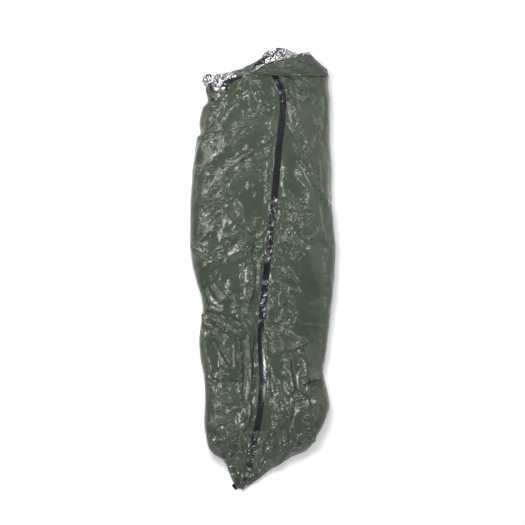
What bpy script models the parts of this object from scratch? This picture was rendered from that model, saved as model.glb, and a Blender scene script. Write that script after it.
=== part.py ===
"""Survival bag: olive film outside, aluminised film inside, closed down the front by a black tape.

The bag lies on its back with its mouth towards +Y, as full as when it is worn. Distances along it, d,
are measured from the foot tip, and the whole bag is then centred on the origin.
"""
import math

import bpy
from mathutils import Vector

# Lengths along the bag, in metres
SHELL_START = 0.008
FLAP_START = 0.420
NECK = 1.831
HOOD_DEPTH = 0.131

# Layers, in metres
FILM = 0.0012
LINING = 0.0006
TAPE = 0.0008
LAYER_GAP = 0.0003
SEAM_GAP = 0.0005
CUT_GAP = 0.0006
LAP_CLEARANCE = 0.0005

# Cross-section, in metres. Fullness is 1 for an ellipse and lower for a squarer arch
SEAM_HEIGHT = 0.085
SEAM_SHARE = 0.42
FLOOR_CORNER = 0.075
FLOOR_CORNER_SHARE = 0.45
LEFT_FULLNESS = 0.34
RIGHT_FULLNESS = 0.72

# Front closure, in metres: the right panel laps over the left one under the tape
TAPE_WIDTH = 0.028
LIP_WIDTH = 0.016
LAP_FULL_WIDTH = 0.120

# Tape end folded aside under the foot tip, from its free end to the tip: (distance from the tip, x)
TIP_TAPE_LINE = [(0.046, -0.140), (0.024, -0.064)]
TIP_LIFT_END = 0.150

# Seen from above: (distance from the foot tip, x)
LEFT_OUTLINE = [
    (0.000, -0.088), (0.035, -0.119), (0.141, -0.176), (0.207, -0.238), (0.273, -0.251),
    (0.515, -0.246), (0.625, -0.273), (0.800, -0.255), (0.977, -0.299), (1.080, -0.326),
    (1.240, -0.312), (1.549, -0.286), (1.577, -0.269), (1.637, -0.272), (1.760, -0.251),
    (1.831, -0.247),
]
RIGHT_OUTLINE = [
    (0.000, -0.088), (0.053, -0.004), (0.128, 0.084), (0.198, 0.224), (0.273, 0.257),
    (0.375, 0.304), (0.515, 0.273), (0.757, 0.304), (1.043, 0.326), (1.285, 0.308),
    (1.681, 0.304), (1.831, 0.300),
]
TAPE_LINE = [
    (0.000, -0.088), (0.030, -0.068), (0.176, -0.042), (0.356, -0.004), (0.515, 0.009),
    (0.660, -0.002), (0.836, 0.010), (1.050, 0.033), (1.254, 0.055), (1.496, 0.077),
    (1.720, 0.097), (1.760, 0.092), (1.831, 0.060),
]

# Top of the bag: (distance from the foot tip, z)
CROWN_LINE = [
    (0.000, 0.016), (0.060, 0.048), (0.130, 0.105), (0.200, 0.170), (0.280, 0.222),
    (0.360, 0.230), (0.500, 0.205), (0.640, 0.206), (0.900, 0.240), (1.150, 0.270),
    (1.500, 0.285), (1.700, 0.266), (1.831, 0.235),
]

# Where the wearer and the film's main folds raise or lower the front:
# (distance from the foot tip, x, half-length, half-width, height)
SWELLS = [
    (0.246, -0.170, 0.080, 0.060, 0.006), (0.387, 0.185, 0.090, 0.060, 0.006),
    (0.560, -0.120, 0.200, 0.065, 0.007), (0.560, 0.125, 0.200, 0.065, 0.007),
    (0.580, -0.010, 0.220, 0.040, -0.009), (1.060, 0.235, 0.220, 0.055, 0.006),
    (1.370, -0.075, 0.160, 0.090, 0.008), (1.478, -0.200, 0.110, 0.080, 0.005),
    (1.690, 0.235, 0.090, 0.060, 0.006),
]

# Collar over the mouth: (x, distance past the neck, height over the bag's top at the neck)
COLLAR_RIM = [
    (-0.048, 0.010, -0.001), (0.000, 0.034, 0.010), (0.060, 0.056, 0.022), (0.125, 0.074, 0.024),
    (0.185, 0.090, 0.012), (0.216, 0.088, -0.020), (0.252, 0.058, -0.060), (0.290, 0.030, -0.104),
]
COLLAR_START_X = -0.048
COLLAR_END_HEIGHT = 0.014

# Back of the hood, behind the neck: (x, distance past the neck) of the ends of its rim
HOOD_LEFT_END = (-0.050, 0.006)
HOOD_RIGHT_END = (0.206, 0.074)
HOOD_RIM_DROP = 0.105
HOOD_WALL_CLEARANCE = 0.006
HOOD_RIM_POWER = 0.7

# Corner turned out over the left shoulder: (x, reach down the front, thickness of the roll)
CORNER_LINE = [
    (-0.060, 0.012, 0.010), (-0.130, 0.066, 0.024), (-0.195, 0.094, 0.026), (-0.238, 0.108, 0.020),
]
CORNER_SEAT = 0.0009
CORNER_END_TURN = 0.08
CORNER_OVERHANG = 0.008
CORNER_TAPE_SHARE = 0.25

# Cross-section of the turned-out corner: (share of the reach, or of the overhang where it is past
# the neck; share of the roll's thickness)
CORNER_SECTION = [
    (-1.00, 0.00), (CORNER_TAPE_SHARE - 1.00, 0.30), (-0.40, 0.90), (0.00, 1.00), (1.00, 0.60), (0.60, 0.15),
]
TURN_STEP = 0.02

# Mesh pitch
FOOT_PITCH = 0.034
BODY_PITCH = 0.066
SIDE_COLUMNS = 8
CORNER_COLUMNS = 4
FLOOR_COLUMNS = 4
HOOD_ROWS = 4
COLLAR_COLUMNS = 9
CORNER_ROWS = 7

# Joints, in metres: how far each flap's axis stands outside the bag's widest point
HINGE_MARGIN = 0.0008

MIDDLE = (SHELL_START + NECK + HOOD_DEPTH) / 2
NECK_Y = NECK - MIDDLE
LAYERS = FILM + LAYER_GAP + LINING
LAP_RISE = LAYER_GAP + TAPE + LAP_CLEARANCE + LAYERS
TAPE_OFFSETS = (-TAPE_WIDTH / 2, 0.0, TAPE_WIDTH / 2)


def smooth(points, at):
    """Value at one position of the monotone cubic through (position, value) points."""
    places = [p[0] for p in points]
    values = [p[1] for p in points]
    last = len(places) - 1
    steps = [(values[i + 1] - values[i]) / (places[i + 1] - places[i]) for i in range(last)]
    slopes = [steps[0]]
    for before, after in zip(steps, steps[1:]):
        slopes.append(0.0 if before * after <= 0 else 2 * before * after / (before + after))
    slopes.append(steps[-1])
    at = min(max(at, places[0]), places[-1])
    i = min(sum(1 for p in places[1:] if p <= at), last - 1)
    span = places[i + 1] - places[i]
    t = (at - places[i]) / span
    return (
        (1 + 2 * t) * (1 - t) ** 2 * values[i]
        + t * (1 - t) ** 2 * span * slopes[i]
        + t * t * (3 - 2 * t) * values[i + 1]
        + t * t * (t - 1) * span * slopes[i + 1]
    )


def along(line, share):
    """Each coordinate of a line of points, at a share of its length."""
    last = len(line) - 1
    return [smooth([(i / last, p[k]) for i, p in enumerate(line)], share) for k in range(len(line[0]))]


def ease(t):
    """0 to 1 with level ends."""
    t = min(max(t, 0.0), 1.0)
    return t * t * (3 - 2 * t)


def spread(start, end, count):
    return [start + (end - start) * i / count for i in range(count + 1)]


def edges(d):
    """Left and right x of the bag's outline."""
    return smooth(LEFT_OUTLINE, d), smooth(RIGHT_OUTLINE, d)


def seam_height(d):
    """Height of the side seam, where the front panels meet the back panel."""
    return min(SEAM_HEIGHT, SEAM_SHARE * smooth(CROWN_LINE, d))


def floor_height(d):
    """The tip lies on the tape folded under it, and the rest of the back panel on the ground."""
    lift_start = TIP_TAPE_LINE[0][0] + TAPE_WIDTH
    return (TAPE + LAYER_GAP) * (1 - ease((d - lift_start) / (TIP_LIFT_END - lift_start)))


def bag_point(d, x, z):
    return Vector((x, d - MIDDLE, z))


def fullness(share):
    """The left side of the front is squarer than the right one."""
    return LEFT_FULLNESS if share < 0 else RIGHT_FULLNESS


def swell(d, x):
    """How far the front stands over its plain arch."""
    return sum(
        height * math.exp(-((d - at) / length) ** 2 - ((x - middle) / width) ** 2)
        for at, middle, length, width, height in SWELLS
    )


def front_point(d, turn):
    """Point on the front of the bag. Turn runs from 0 at the left seam to pi at the right one."""
    left, right = edges(d)
    seam = seam_height(d) + SEAM_GAP / 2
    across = -math.cos(turn)
    x = (left + right) / 2 + (right - left) / 2 * math.copysign(abs(across) ** fullness(across), across)
    rise = max(math.sin(turn), 0.0) ** fullness(across)
    z = seam + (smooth(CROWN_LINE, d) - seam + swell(d, x)) * rise
    return bag_point(d, x, z)


def turn_at(d, x):
    """The turn at which the front of the bag passes over x."""
    left, right = edges(d)
    share = min(max((2 * x - left - right) / (right - left), -1.0), 1.0)
    return math.acos(-math.copysign(abs(share) ** (1 / fullness(share)), share))


def lap_x(d, offset):
    """X of a line beside the tape's middle. The lap narrows with the bag at the tip."""
    left, right = edges(d)
    return smooth(TAPE_LINE, d) + offset * min(1.0, (right - left) / LAP_FULL_WIDTH)


def foot_distances():
    """Cross-sections of the foot, which stays closed."""
    end = FLAP_START - CUT_GAP / 2
    return spread(SHELL_START, end, round((end - SHELL_START) / FOOT_PITCH))


def flap_distances():
    """Cross-sections of the flaps, from the foot to the neck."""
    start = FLAP_START + CUT_GAP / 2
    return spread(start, NECK, round((NECK - start) / BODY_PITCH))


def left_row(d):
    """Front left panel: from the left seam to the far side of the tape."""
    lip = lap_x(d, -TAPE_WIDTH / 2 - LIP_WIDTH)
    turns = spread(0.0, turn_at(d, lip), SIDE_COLUMNS)
    turns += [turn_at(d, lap_x(d, offset)) for offset in TAPE_OFFSETS]
    return [front_point(d, turn) for turn in turns]


def right_row(d):
    """Front right panel: from its lip, left of the tape, to the right seam."""
    offsets = (-TAPE_WIDTH / 2 - LIP_WIDTH,) + TAPE_OFFSETS
    turns = [turn_at(d, lap_x(d, offset)) for offset in offsets]
    turns += spread(turns[-1], math.pi, SIDE_COLUMNS)[1:]
    return [front_point(d, turn) for turn in turns]


def right_rise(column):
    """How far the right panel stands off, to lie over the left one and its tape."""
    return LAP_RISE * (1 - ease((column - len(TAPE_OFFSETS)) / (SIDE_COLUMNS - 2)))


def trough(left, right, wall_left, wall_right, floor, place):
    """A cross-section open at the top, from the right wall over the ground to the left wall."""
    corner = min(FLOOR_CORNER, (right - left) * FLOOR_CORNER_SHARE)
    turns = spread(0.0, math.pi / 2, CORNER_COLUMNS)
    section = [
        (right - corner * (1 - math.cos(a)), floor + (wall_right - floor) * (1 - math.sin(a))) for a in turns
    ]
    section += [(x, floor) for x in spread(right - corner, left + corner, FLOOR_COLUMNS)][1:-1]
    section += [
        (left + corner * (1 - math.cos(a)), floor + (wall_left - floor) * (1 - math.sin(a)))
        for a in reversed(turns)
    ]
    return [place(x, z) for x, z in section]


def back_row(d):
    """Back panel: from the right seam under the bag to the left seam."""
    left, right = edges(d)
    wall = seam_height(d) - SEAM_GAP / 2
    return trough(left, right, wall, wall, floor_height(d), lambda x, z: bag_point(d, x, z))


def hood_row(share):
    """Back of the hood, which narrows from the neck to its rim. Its left wall closes the shoulder."""
    neck_left, neck_right = edges(NECK)
    left = neck_left + (HOOD_LEFT_END[0] - neck_left) * ease(share)
    right = neck_right + (HOOD_RIGHT_END[0] - neck_right) * ease(share)
    seam = SEAM_HEIGHT - SEAM_GAP / 2
    over = front_point(NECK, turn_at(NECK, left)).z - HOOD_WALL_CLEARANCE * ease(share * HOOD_ROWS)
    wall_left = min(over, smooth(CROWN_LINE, NECK) - HOOD_WALL_CLEARANCE)
    wall_left = seam if share == 0 else max(wall_left, seam)
    rim_right = smooth(CROWN_LINE, NECK) - HOOD_RIM_DROP
    wall_right = seam + (rim_right - seam) * share

    def place(x, z):
        across = (x - left) / (right - left)
        ends = HOOD_LEFT_END[1] * (1 - across) + HOOD_RIGHT_END[1] * across
        past = ends + (HOOD_DEPTH - ends) * max(math.sin(math.pi * across), 0.0) ** HOOD_RIM_POWER
        return Vector((x, NECK_Y + CUT_GAP + (past - CUT_GAP) * share, z))

    return trough(left, right, wall_left, wall_right, 0.0, place)


def collar_row(share):
    """Collar: from the neck's edge over the front to its rim above the mouth."""
    left, right = edges(NECK)
    middle, half = (left + right) / 2, (right - left) / 2
    crown = smooth(CROWN_LINE, NECK) + LAP_RISE
    last_turn = math.pi - math.asin((COLLAR_END_HEIGHT / (crown - SEAM_HEIGHT)) ** (1 / RIGHT_FULLNESS))
    first = math.acos((middle - COLLAR_START_X) / half)
    last = math.acos((middle - front_point(NECK, last_turn).x) / half)
    row = []
    for i, angle in enumerate(spread(first, last, COLLAR_COLUMNS)):
        start = front_point(NECK, turn_at(NECK, middle - half * math.cos(angle)))
        start += Vector((0.0, CUT_GAP, LAP_RISE))
        x, past, rise = along(COLLAR_RIM, i / COLLAR_COLUMNS)
        rim = Vector((x, NECK_Y + past, crown + rise))
        row.append(start.lerp(rim, share))
    return row


def corner_row(share):
    """Turned-out corner: a cross-section that folds over the neck's edge and down the front."""
    x, reach, thickness = along(CORNER_LINE, share)
    section = [
        (share_past * (CORNER_OVERHANG if share_past > 0 else reach), thickness * share_high)
        for share_past, share_high in CORNER_SECTION
    ]
    section.append((-CORNER_OVERHANG, 0.0))
    row = []
    for past, height in section:
        d = NECK + min(past, 0.0)
        turn = max(turn_at(d, x), CORNER_END_TURN)
        point = front_point(d, turn)
        aside = front_point(d, turn + TURN_STEP) - front_point(d, turn - TURN_STEP)
        normal = aside.cross(Vector((0.0, 1.0, 0.0))).normalized()
        height += CORNER_SEAT + LAYERS
        row.append(point + normal * height + Vector((0.0, max(past, 0.0), 0.0)))
    return row


def normals_of(rows, square_columns=()):
    """Outward normals of a grid. Its end rows stay square to Y, and the seam columns square to Z."""
    last_row, last_column = len(rows) - 1, len(rows[0]) - 1
    found = []
    for i in range(last_row + 1):
        up, down = min(i + 1, last_row), max(i - 1, 0)
        found.append([])
        for j in range(last_column + 1):
            right, left = min(j + 1, last_column), max(j - 1, 0)
            normal = (rows[i][right] - rows[i][left]).cross(rows[up][j] - rows[down][j])
            if i in (0, last_row):
                normal.y = 0.0
            if j in square_columns or j - last_column - 1 in square_columns:
                normal.z = 0.0
            found[-1].append(normal.normalized())
    return found


def shifted(rows, normals, offset_of):
    """The grid moved along its normals by a length that may differ from column to column."""
    return [
        [p + n * offset_of(j) for j, (p, n) in enumerate(zip(*pair))] for pair in zip(rows, normals)
    ]


def sheet_faces(row_count, column_count):
    """Triangles of a closed sheet whose outer grid comes first and its inner grid second."""
    size = row_count * column_count
    faces = []
    for i in range(row_count - 1):
        for j in range(column_count - 1):
            a = i * column_count + j
            b = a + 1
            c = b + column_count
            e = a + column_count
            faces += [(a, b, c), (a, c, e), (a + size, c + size, b + size), (a + size, e + size, c + size)]
    border = list(range(column_count))
    border += [i * column_count + column_count - 1 for i in range(1, row_count)]
    border += [(row_count - 1) * column_count + j for j in range(column_count - 2, -1, -1)]
    border += [i * column_count for i in range(row_count - 2, 0, -1)]
    for a, b in zip(border, border[1:] + border[:1]):
        faces += [(a, a + size, b + size), (a, b + size, b)]
    return faces


def make_material(name, colour, roughness, metallic=0.0):
    material = bpy.data.materials.new(name)
    material.use_nodes = True
    shader = material.node_tree.nodes["Principled BSDF"]
    shader.inputs["Base Color"].default_value = (*colour, 1.0)
    shader.inputs["Roughness"].default_value = roughness
    shader.inputs["Metallic"].default_value = metallic


def make_materials():
    make_material("olive_film", (0.080, 0.102, 0.072), 0.28)
    make_material("aluminised_film", (0.62, 0.63, 0.64), 0.18, 1.0)
    make_material("black_tape", (0.018, 0.018, 0.022), 0.30)


def add_sheet(name, rows, normals, outer_of, thickness, material, pivot):
    """A thin closed solid whose outer face stands off a grid. Its origin is its body's pivot."""
    outside = shifted(rows, normals, outer_of)
    inside = shifted(rows, normals, lambda column: outer_of(column) - thickness)
    centre = pivot.matrix_world.translation
    points = [p - centre for row in outside + inside for p in row]
    mesh = bpy.data.meshes.new(name)
    mesh.from_pydata(points, [], sheet_faces(len(rows), len(rows[0])))
    mesh.materials.append(bpy.data.materials[material])
    mesh.shade_smooth()
    mesh.set_sharp_from_angle(angle=math.radians(40))
    obj = bpy.data.objects.new(name, mesh)
    bpy.context.scene.collection.objects.link(obj)
    obj.parent = pivot
    return obj


def level(offset):
    return lambda column: offset


def add_pair(stem, rows, normals, outer_of, pivot, film_name="panel", lining_name="lining"):
    """The olive film and the aluminised film under it."""
    under = FILM + LAYER_GAP
    add_sheet(f"{stem}_{film_name}", rows, normals, outer_of, FILM, "olive_film", pivot)
    add_sheet(
        f"{stem}_{lining_name}", rows, normals, lambda j: outer_of(j) - under, LINING, "aluminised_film", pivot
    )


def add_tape(name, rows, normals, columns, face_of, pivot):
    """A tape on the outer face of a panel, over a range of its columns."""
    chosen = slice(*columns)
    first = columns[0] or 0
    add_sheet(
        name,
        [row[chosen] for row in rows],
        [row[chosen] for row in normals],
        lambda j: face_of(j + first) + LAYER_GAP + TAPE,
        TAPE,
        "black_tape",
        pivot,
    )


def add_pivot(name, location, parent=None):
    """An empty on a joint's axis, which the pieces of that body hang from."""
    pivot = bpy.data.objects.new(name, None)
    pivot.empty_display_size = 0.05
    bpy.context.scene.collection.objects.link(pivot)
    if parent:
        pivot.parent = parent
        pivot.matrix_parent_inverse = parent.matrix_world.inverted()
    pivot.location = location
    bpy.context.view_layer.update()
    return pivot


def build_back(pivot):
    """Back panel, which carries everything and lies on the ground."""
    distances = foot_distances() + flap_distances()[1:]
    rows = [back_row(d) for d in distances]
    add_pair("back", rows, normals_of(rows, (0, -1)), level(0.0), pivot)


def build_left(stem, distances, pivot):
    """A stretch of the front left panel, with the tape that the closure lands on."""
    rows = [left_row(d) for d in distances]
    normals = normals_of(rows, (0,))
    add_pair(stem, rows, normals, level(0.0), pivot)
    add_tape(f"{stem}_landing_tape", rows, normals, (SIDE_COLUMNS + 1, None), level(0.0), pivot)


def build_right(stem, distances, pivot):
    """A stretch of the front right panel, with the closure's tape on its outer face."""
    rows = [right_row(d) for d in distances]
    normals = normals_of(rows, (-1,))
    add_pair(stem, rows, normals, right_rise, pivot)
    add_tape(f"{stem}_closure_tape", rows, normals, (1, len(TAPE_OFFSETS) + 1), right_rise, pivot)


def build_tip_tape(pivot):
    """The closure tape's end, folded flat under the foot tip."""
    rows = [
        [bag_point(d + side * TAPE_WIDTH / 2, x, TAPE) for d, x in TIP_TAPE_LINE] for side in (-1, 1)
    ]
    add_sheet("tip_tape", rows, normals_of(rows), level(0.0), TAPE, "black_tape", pivot)


def build_hood(pivot):
    rows = [hood_row(share) for share in spread(0.0, 1.0, HOOD_ROWS)]
    add_pair("hood_back", rows, normals_of(rows), level(0.0), pivot)


def build_collar(pivot):
    rows = [collar_row(share) for share in spread(0.0, 1.0, HOOD_ROWS)]
    normals = normals_of(rows)
    add_pair("collar", rows, normals, level(0.0), pivot)
    add_tape("collar_tape", rows[-2:], normals[-2:], (COLLAR_COLUMNS // 2 + 1, None), level(0.0), pivot)


def build_corner(pivot):
    """The corner shows its lining, so its film lies underneath."""
    rows = [corner_row(share) for share in spread(1.0, 0.0, CORNER_ROWS)]
    grid = [list(column) for column in zip(*rows)]
    normals = normals_of(grid)
    add_sheet("corner_lining", grid, normals, level(0.0), LINING, "aluminised_film", pivot)
    add_sheet("corner_panel", grid, normals, level(-LINING - LAYER_GAP), FILM, "olive_film", pivot)
    face = level(LAYER_GAP + TAPE)
    add_sheet("corner_tape", grid[:2], normals[:2], face, TAPE, "black_tape", pivot)


def main():
    for obj in list(bpy.data.objects):
        bpy.data.objects.remove(obj)
    make_materials()
    right_x = max(x for _, x in RIGHT_OUTLINE) + HINGE_MARGIN
    left_x = min(x for _, x in LEFT_OUTLINE) - HINGE_MARGIN
    tape_face = smooth(CROWN_LINE, NECK) + LAP_RISE + LAYER_GAP + TAPE
    base = add_pivot("base", (0.0, 0.0, 0.0))
    right_flap = add_pivot("right_flap", (right_x, 0.0, SEAM_HEIGHT), base)
    left_flap = add_pivot("left_flap", (left_x, 0.0, SEAM_HEIGHT), base)
    collar = add_pivot("collar", (0.0, NECK_Y, tape_face), right_flap)
    corner = add_pivot("corner", front_point(NECK, turn_at(NECK, CORNER_LINE[0][0])), left_flap)
    build_back(base)
    build_left("foot_left", foot_distances(), base)
    build_right("foot_right", foot_distances(), base)
    build_tip_tape(base)
    build_hood(base)
    build_left("left", flap_distances(), left_flap)
    build_right("right", flap_distances(), right_flap)
    build_collar(collar)
    build_corner(corner)


main()
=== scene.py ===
"""Looks of the survival bag: crinkled olive film, aluminised inside, with black tapes.

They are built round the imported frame. Places that come from the photograph are given in its pixels, px
across and py down, and turned into metres by across() and along_bag(). Distances along the bag, d, are
measured from the foot tip.
"""

import math

import bpy
import numpy as np
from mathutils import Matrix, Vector


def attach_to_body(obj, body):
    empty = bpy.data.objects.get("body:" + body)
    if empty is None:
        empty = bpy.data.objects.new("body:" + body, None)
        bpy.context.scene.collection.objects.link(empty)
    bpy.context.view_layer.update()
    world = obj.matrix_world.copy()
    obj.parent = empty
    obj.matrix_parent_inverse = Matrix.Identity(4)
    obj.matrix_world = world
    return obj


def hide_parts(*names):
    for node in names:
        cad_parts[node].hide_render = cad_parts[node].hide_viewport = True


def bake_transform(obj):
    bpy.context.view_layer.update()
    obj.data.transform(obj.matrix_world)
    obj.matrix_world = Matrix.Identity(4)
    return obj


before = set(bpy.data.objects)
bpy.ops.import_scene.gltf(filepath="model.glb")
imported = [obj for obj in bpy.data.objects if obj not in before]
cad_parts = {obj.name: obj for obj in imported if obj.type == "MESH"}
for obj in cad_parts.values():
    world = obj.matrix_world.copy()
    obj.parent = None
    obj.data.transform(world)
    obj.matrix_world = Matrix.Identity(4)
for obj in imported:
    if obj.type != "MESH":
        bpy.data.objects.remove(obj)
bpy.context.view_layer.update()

# The photograph's frame, seen from straight above: pixels along its sides, metres in a pixel, the column
# where x is 0, and the row of the foot tip
FRAME_PX = 525
PIXEL = 0.0044
CENTRE_PX = 261.0
TIP_PY = 492.0

# The bag's own dimensions, as in its source
SHELL_START = 0.008
NECK = 1.831
HOOD_DEPTH = 0.131
MIDDLE = (SHELL_START + NECK + HOOD_DEPTH) / 2
NECK_Y = NECK - MIDDLE
SEAM_HEIGHT = 0.085
SEAM_SHARE = 0.42
SEAM_GAP = 0.0005
FLOOR_CORNER = 0.075
LEFT_FULLNESS = 0.34
RIGHT_FULLNESS = 0.72
TAPE_WIDTH = 0.028
LIP_WIDTH = 0.016
LAP_FULL_WIDTH = 0.120
LAP_RISE = 0.0037
CUT_GAP = 0.0006

# Outline of the film in the photograph, from the foot tip to the neck: (py, px)
LEFT_EDGE = [
    (492, 241), (487, 235), (474, 229), (466, 226), (461, 222.5), (455, 213.5), (447, 208), (434, 205.5),
    (422, 204), (398, 205), (378, 204), (366, 201.5), (352, 199.5), (340, 199), (318, 201.5), (310, 202.5),
    (301, 202), (282, 196.5), (262, 192), (240, 190), (204, 190), (180, 192), (144, 195.5), (137, 196.5),
    (133, 200.5), (124, 199), (108, 202.5), (101, 207.5), (90, 206), (76, 205.5),
]
RIGHT_EDGE = [
    (492, 241.5), (480, 259), (468, 274.5), (462, 285), (457, 292.5), (452, 306), (447, 311), (432, 320),
    (414, 328), (406, 330), (396, 328.5), (378, 324.5), (372, 323.5), (348, 327), (312, 331), (262, 335),
    (246, 335.5), (222, 333.5), (192, 331.5), (172, 332), (138, 330), (98, 330), (86, 328.5), (76, 329),
]
# Middle of the closure tape and top of the front, as in the source: (d, x) and (d, z)
TAPE_LINE = [
    (0.000, -0.088), (0.030, -0.068), (0.176, -0.042), (0.356, -0.004), (0.515, 0.009),
    (0.660, -0.002), (0.836, 0.010), (1.050, 0.033), (1.254, 0.055), (1.496, 0.077),
    (1.720, 0.097), (1.760, 0.092), (1.831, 0.060),
]
CROWN_LINE = [
    (0.000, 0.016), (0.060, 0.048), (0.130, 0.105), (0.200, 0.170), (0.280, 0.222),
    (0.360, 0.230), (0.500, 0.205), (0.640, 0.206), (0.900, 0.240), (1.150, 0.270),
    (1.500, 0.285), (1.700, 0.266), (1.831, 0.235),
]
# Swells of the front, as in the source: (d, x, half-length, half-width, height)
SWELLS = [
    (0.246, -0.170, 0.080, 0.060, 0.006), (0.387, 0.185, 0.090, 0.060, 0.006),
    (0.560, -0.120, 0.200, 0.065, 0.007), (0.560, 0.125, 0.200, 0.065, 0.007),
    (0.580, -0.010, 0.220, 0.040, -0.009), (1.060, 0.235, 0.220, 0.055, 0.006),
    (1.370, -0.075, 0.160, 0.090, 0.008), (1.478, -0.200, 0.110, 0.080, 0.005),
    (1.690, 0.235, 0.090, 0.060, 0.006),
]

# Sheets: their thicknesses and the gap between two layers, in metres
FILM = 0.0005
LINING = 0.0003
TAPE = 0.0007
SHEET_GAP = 0.0003
# Edges that bend more than this many degrees stay sharp
CREASE_ANGLE = 13
# The front's grid: distance between rows, and steps across the lap, its tape and each side
PITCH = 0.0042
LAP_STEPS = 11
TAPE_STEPS = 7
TAPE_MIDDLE_STEP = 8
SIDE_STEPS = 92
ARC_SAMPLES = 161
# Millimetres in a metre, and a distance that is farther than any place
MILLIMETRES = 1000
FAR = 1e9
# Linings take every other line of their film's grid
EVERY_OTHER = (slice(None, None, 2), slice(None, None, 2))

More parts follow.
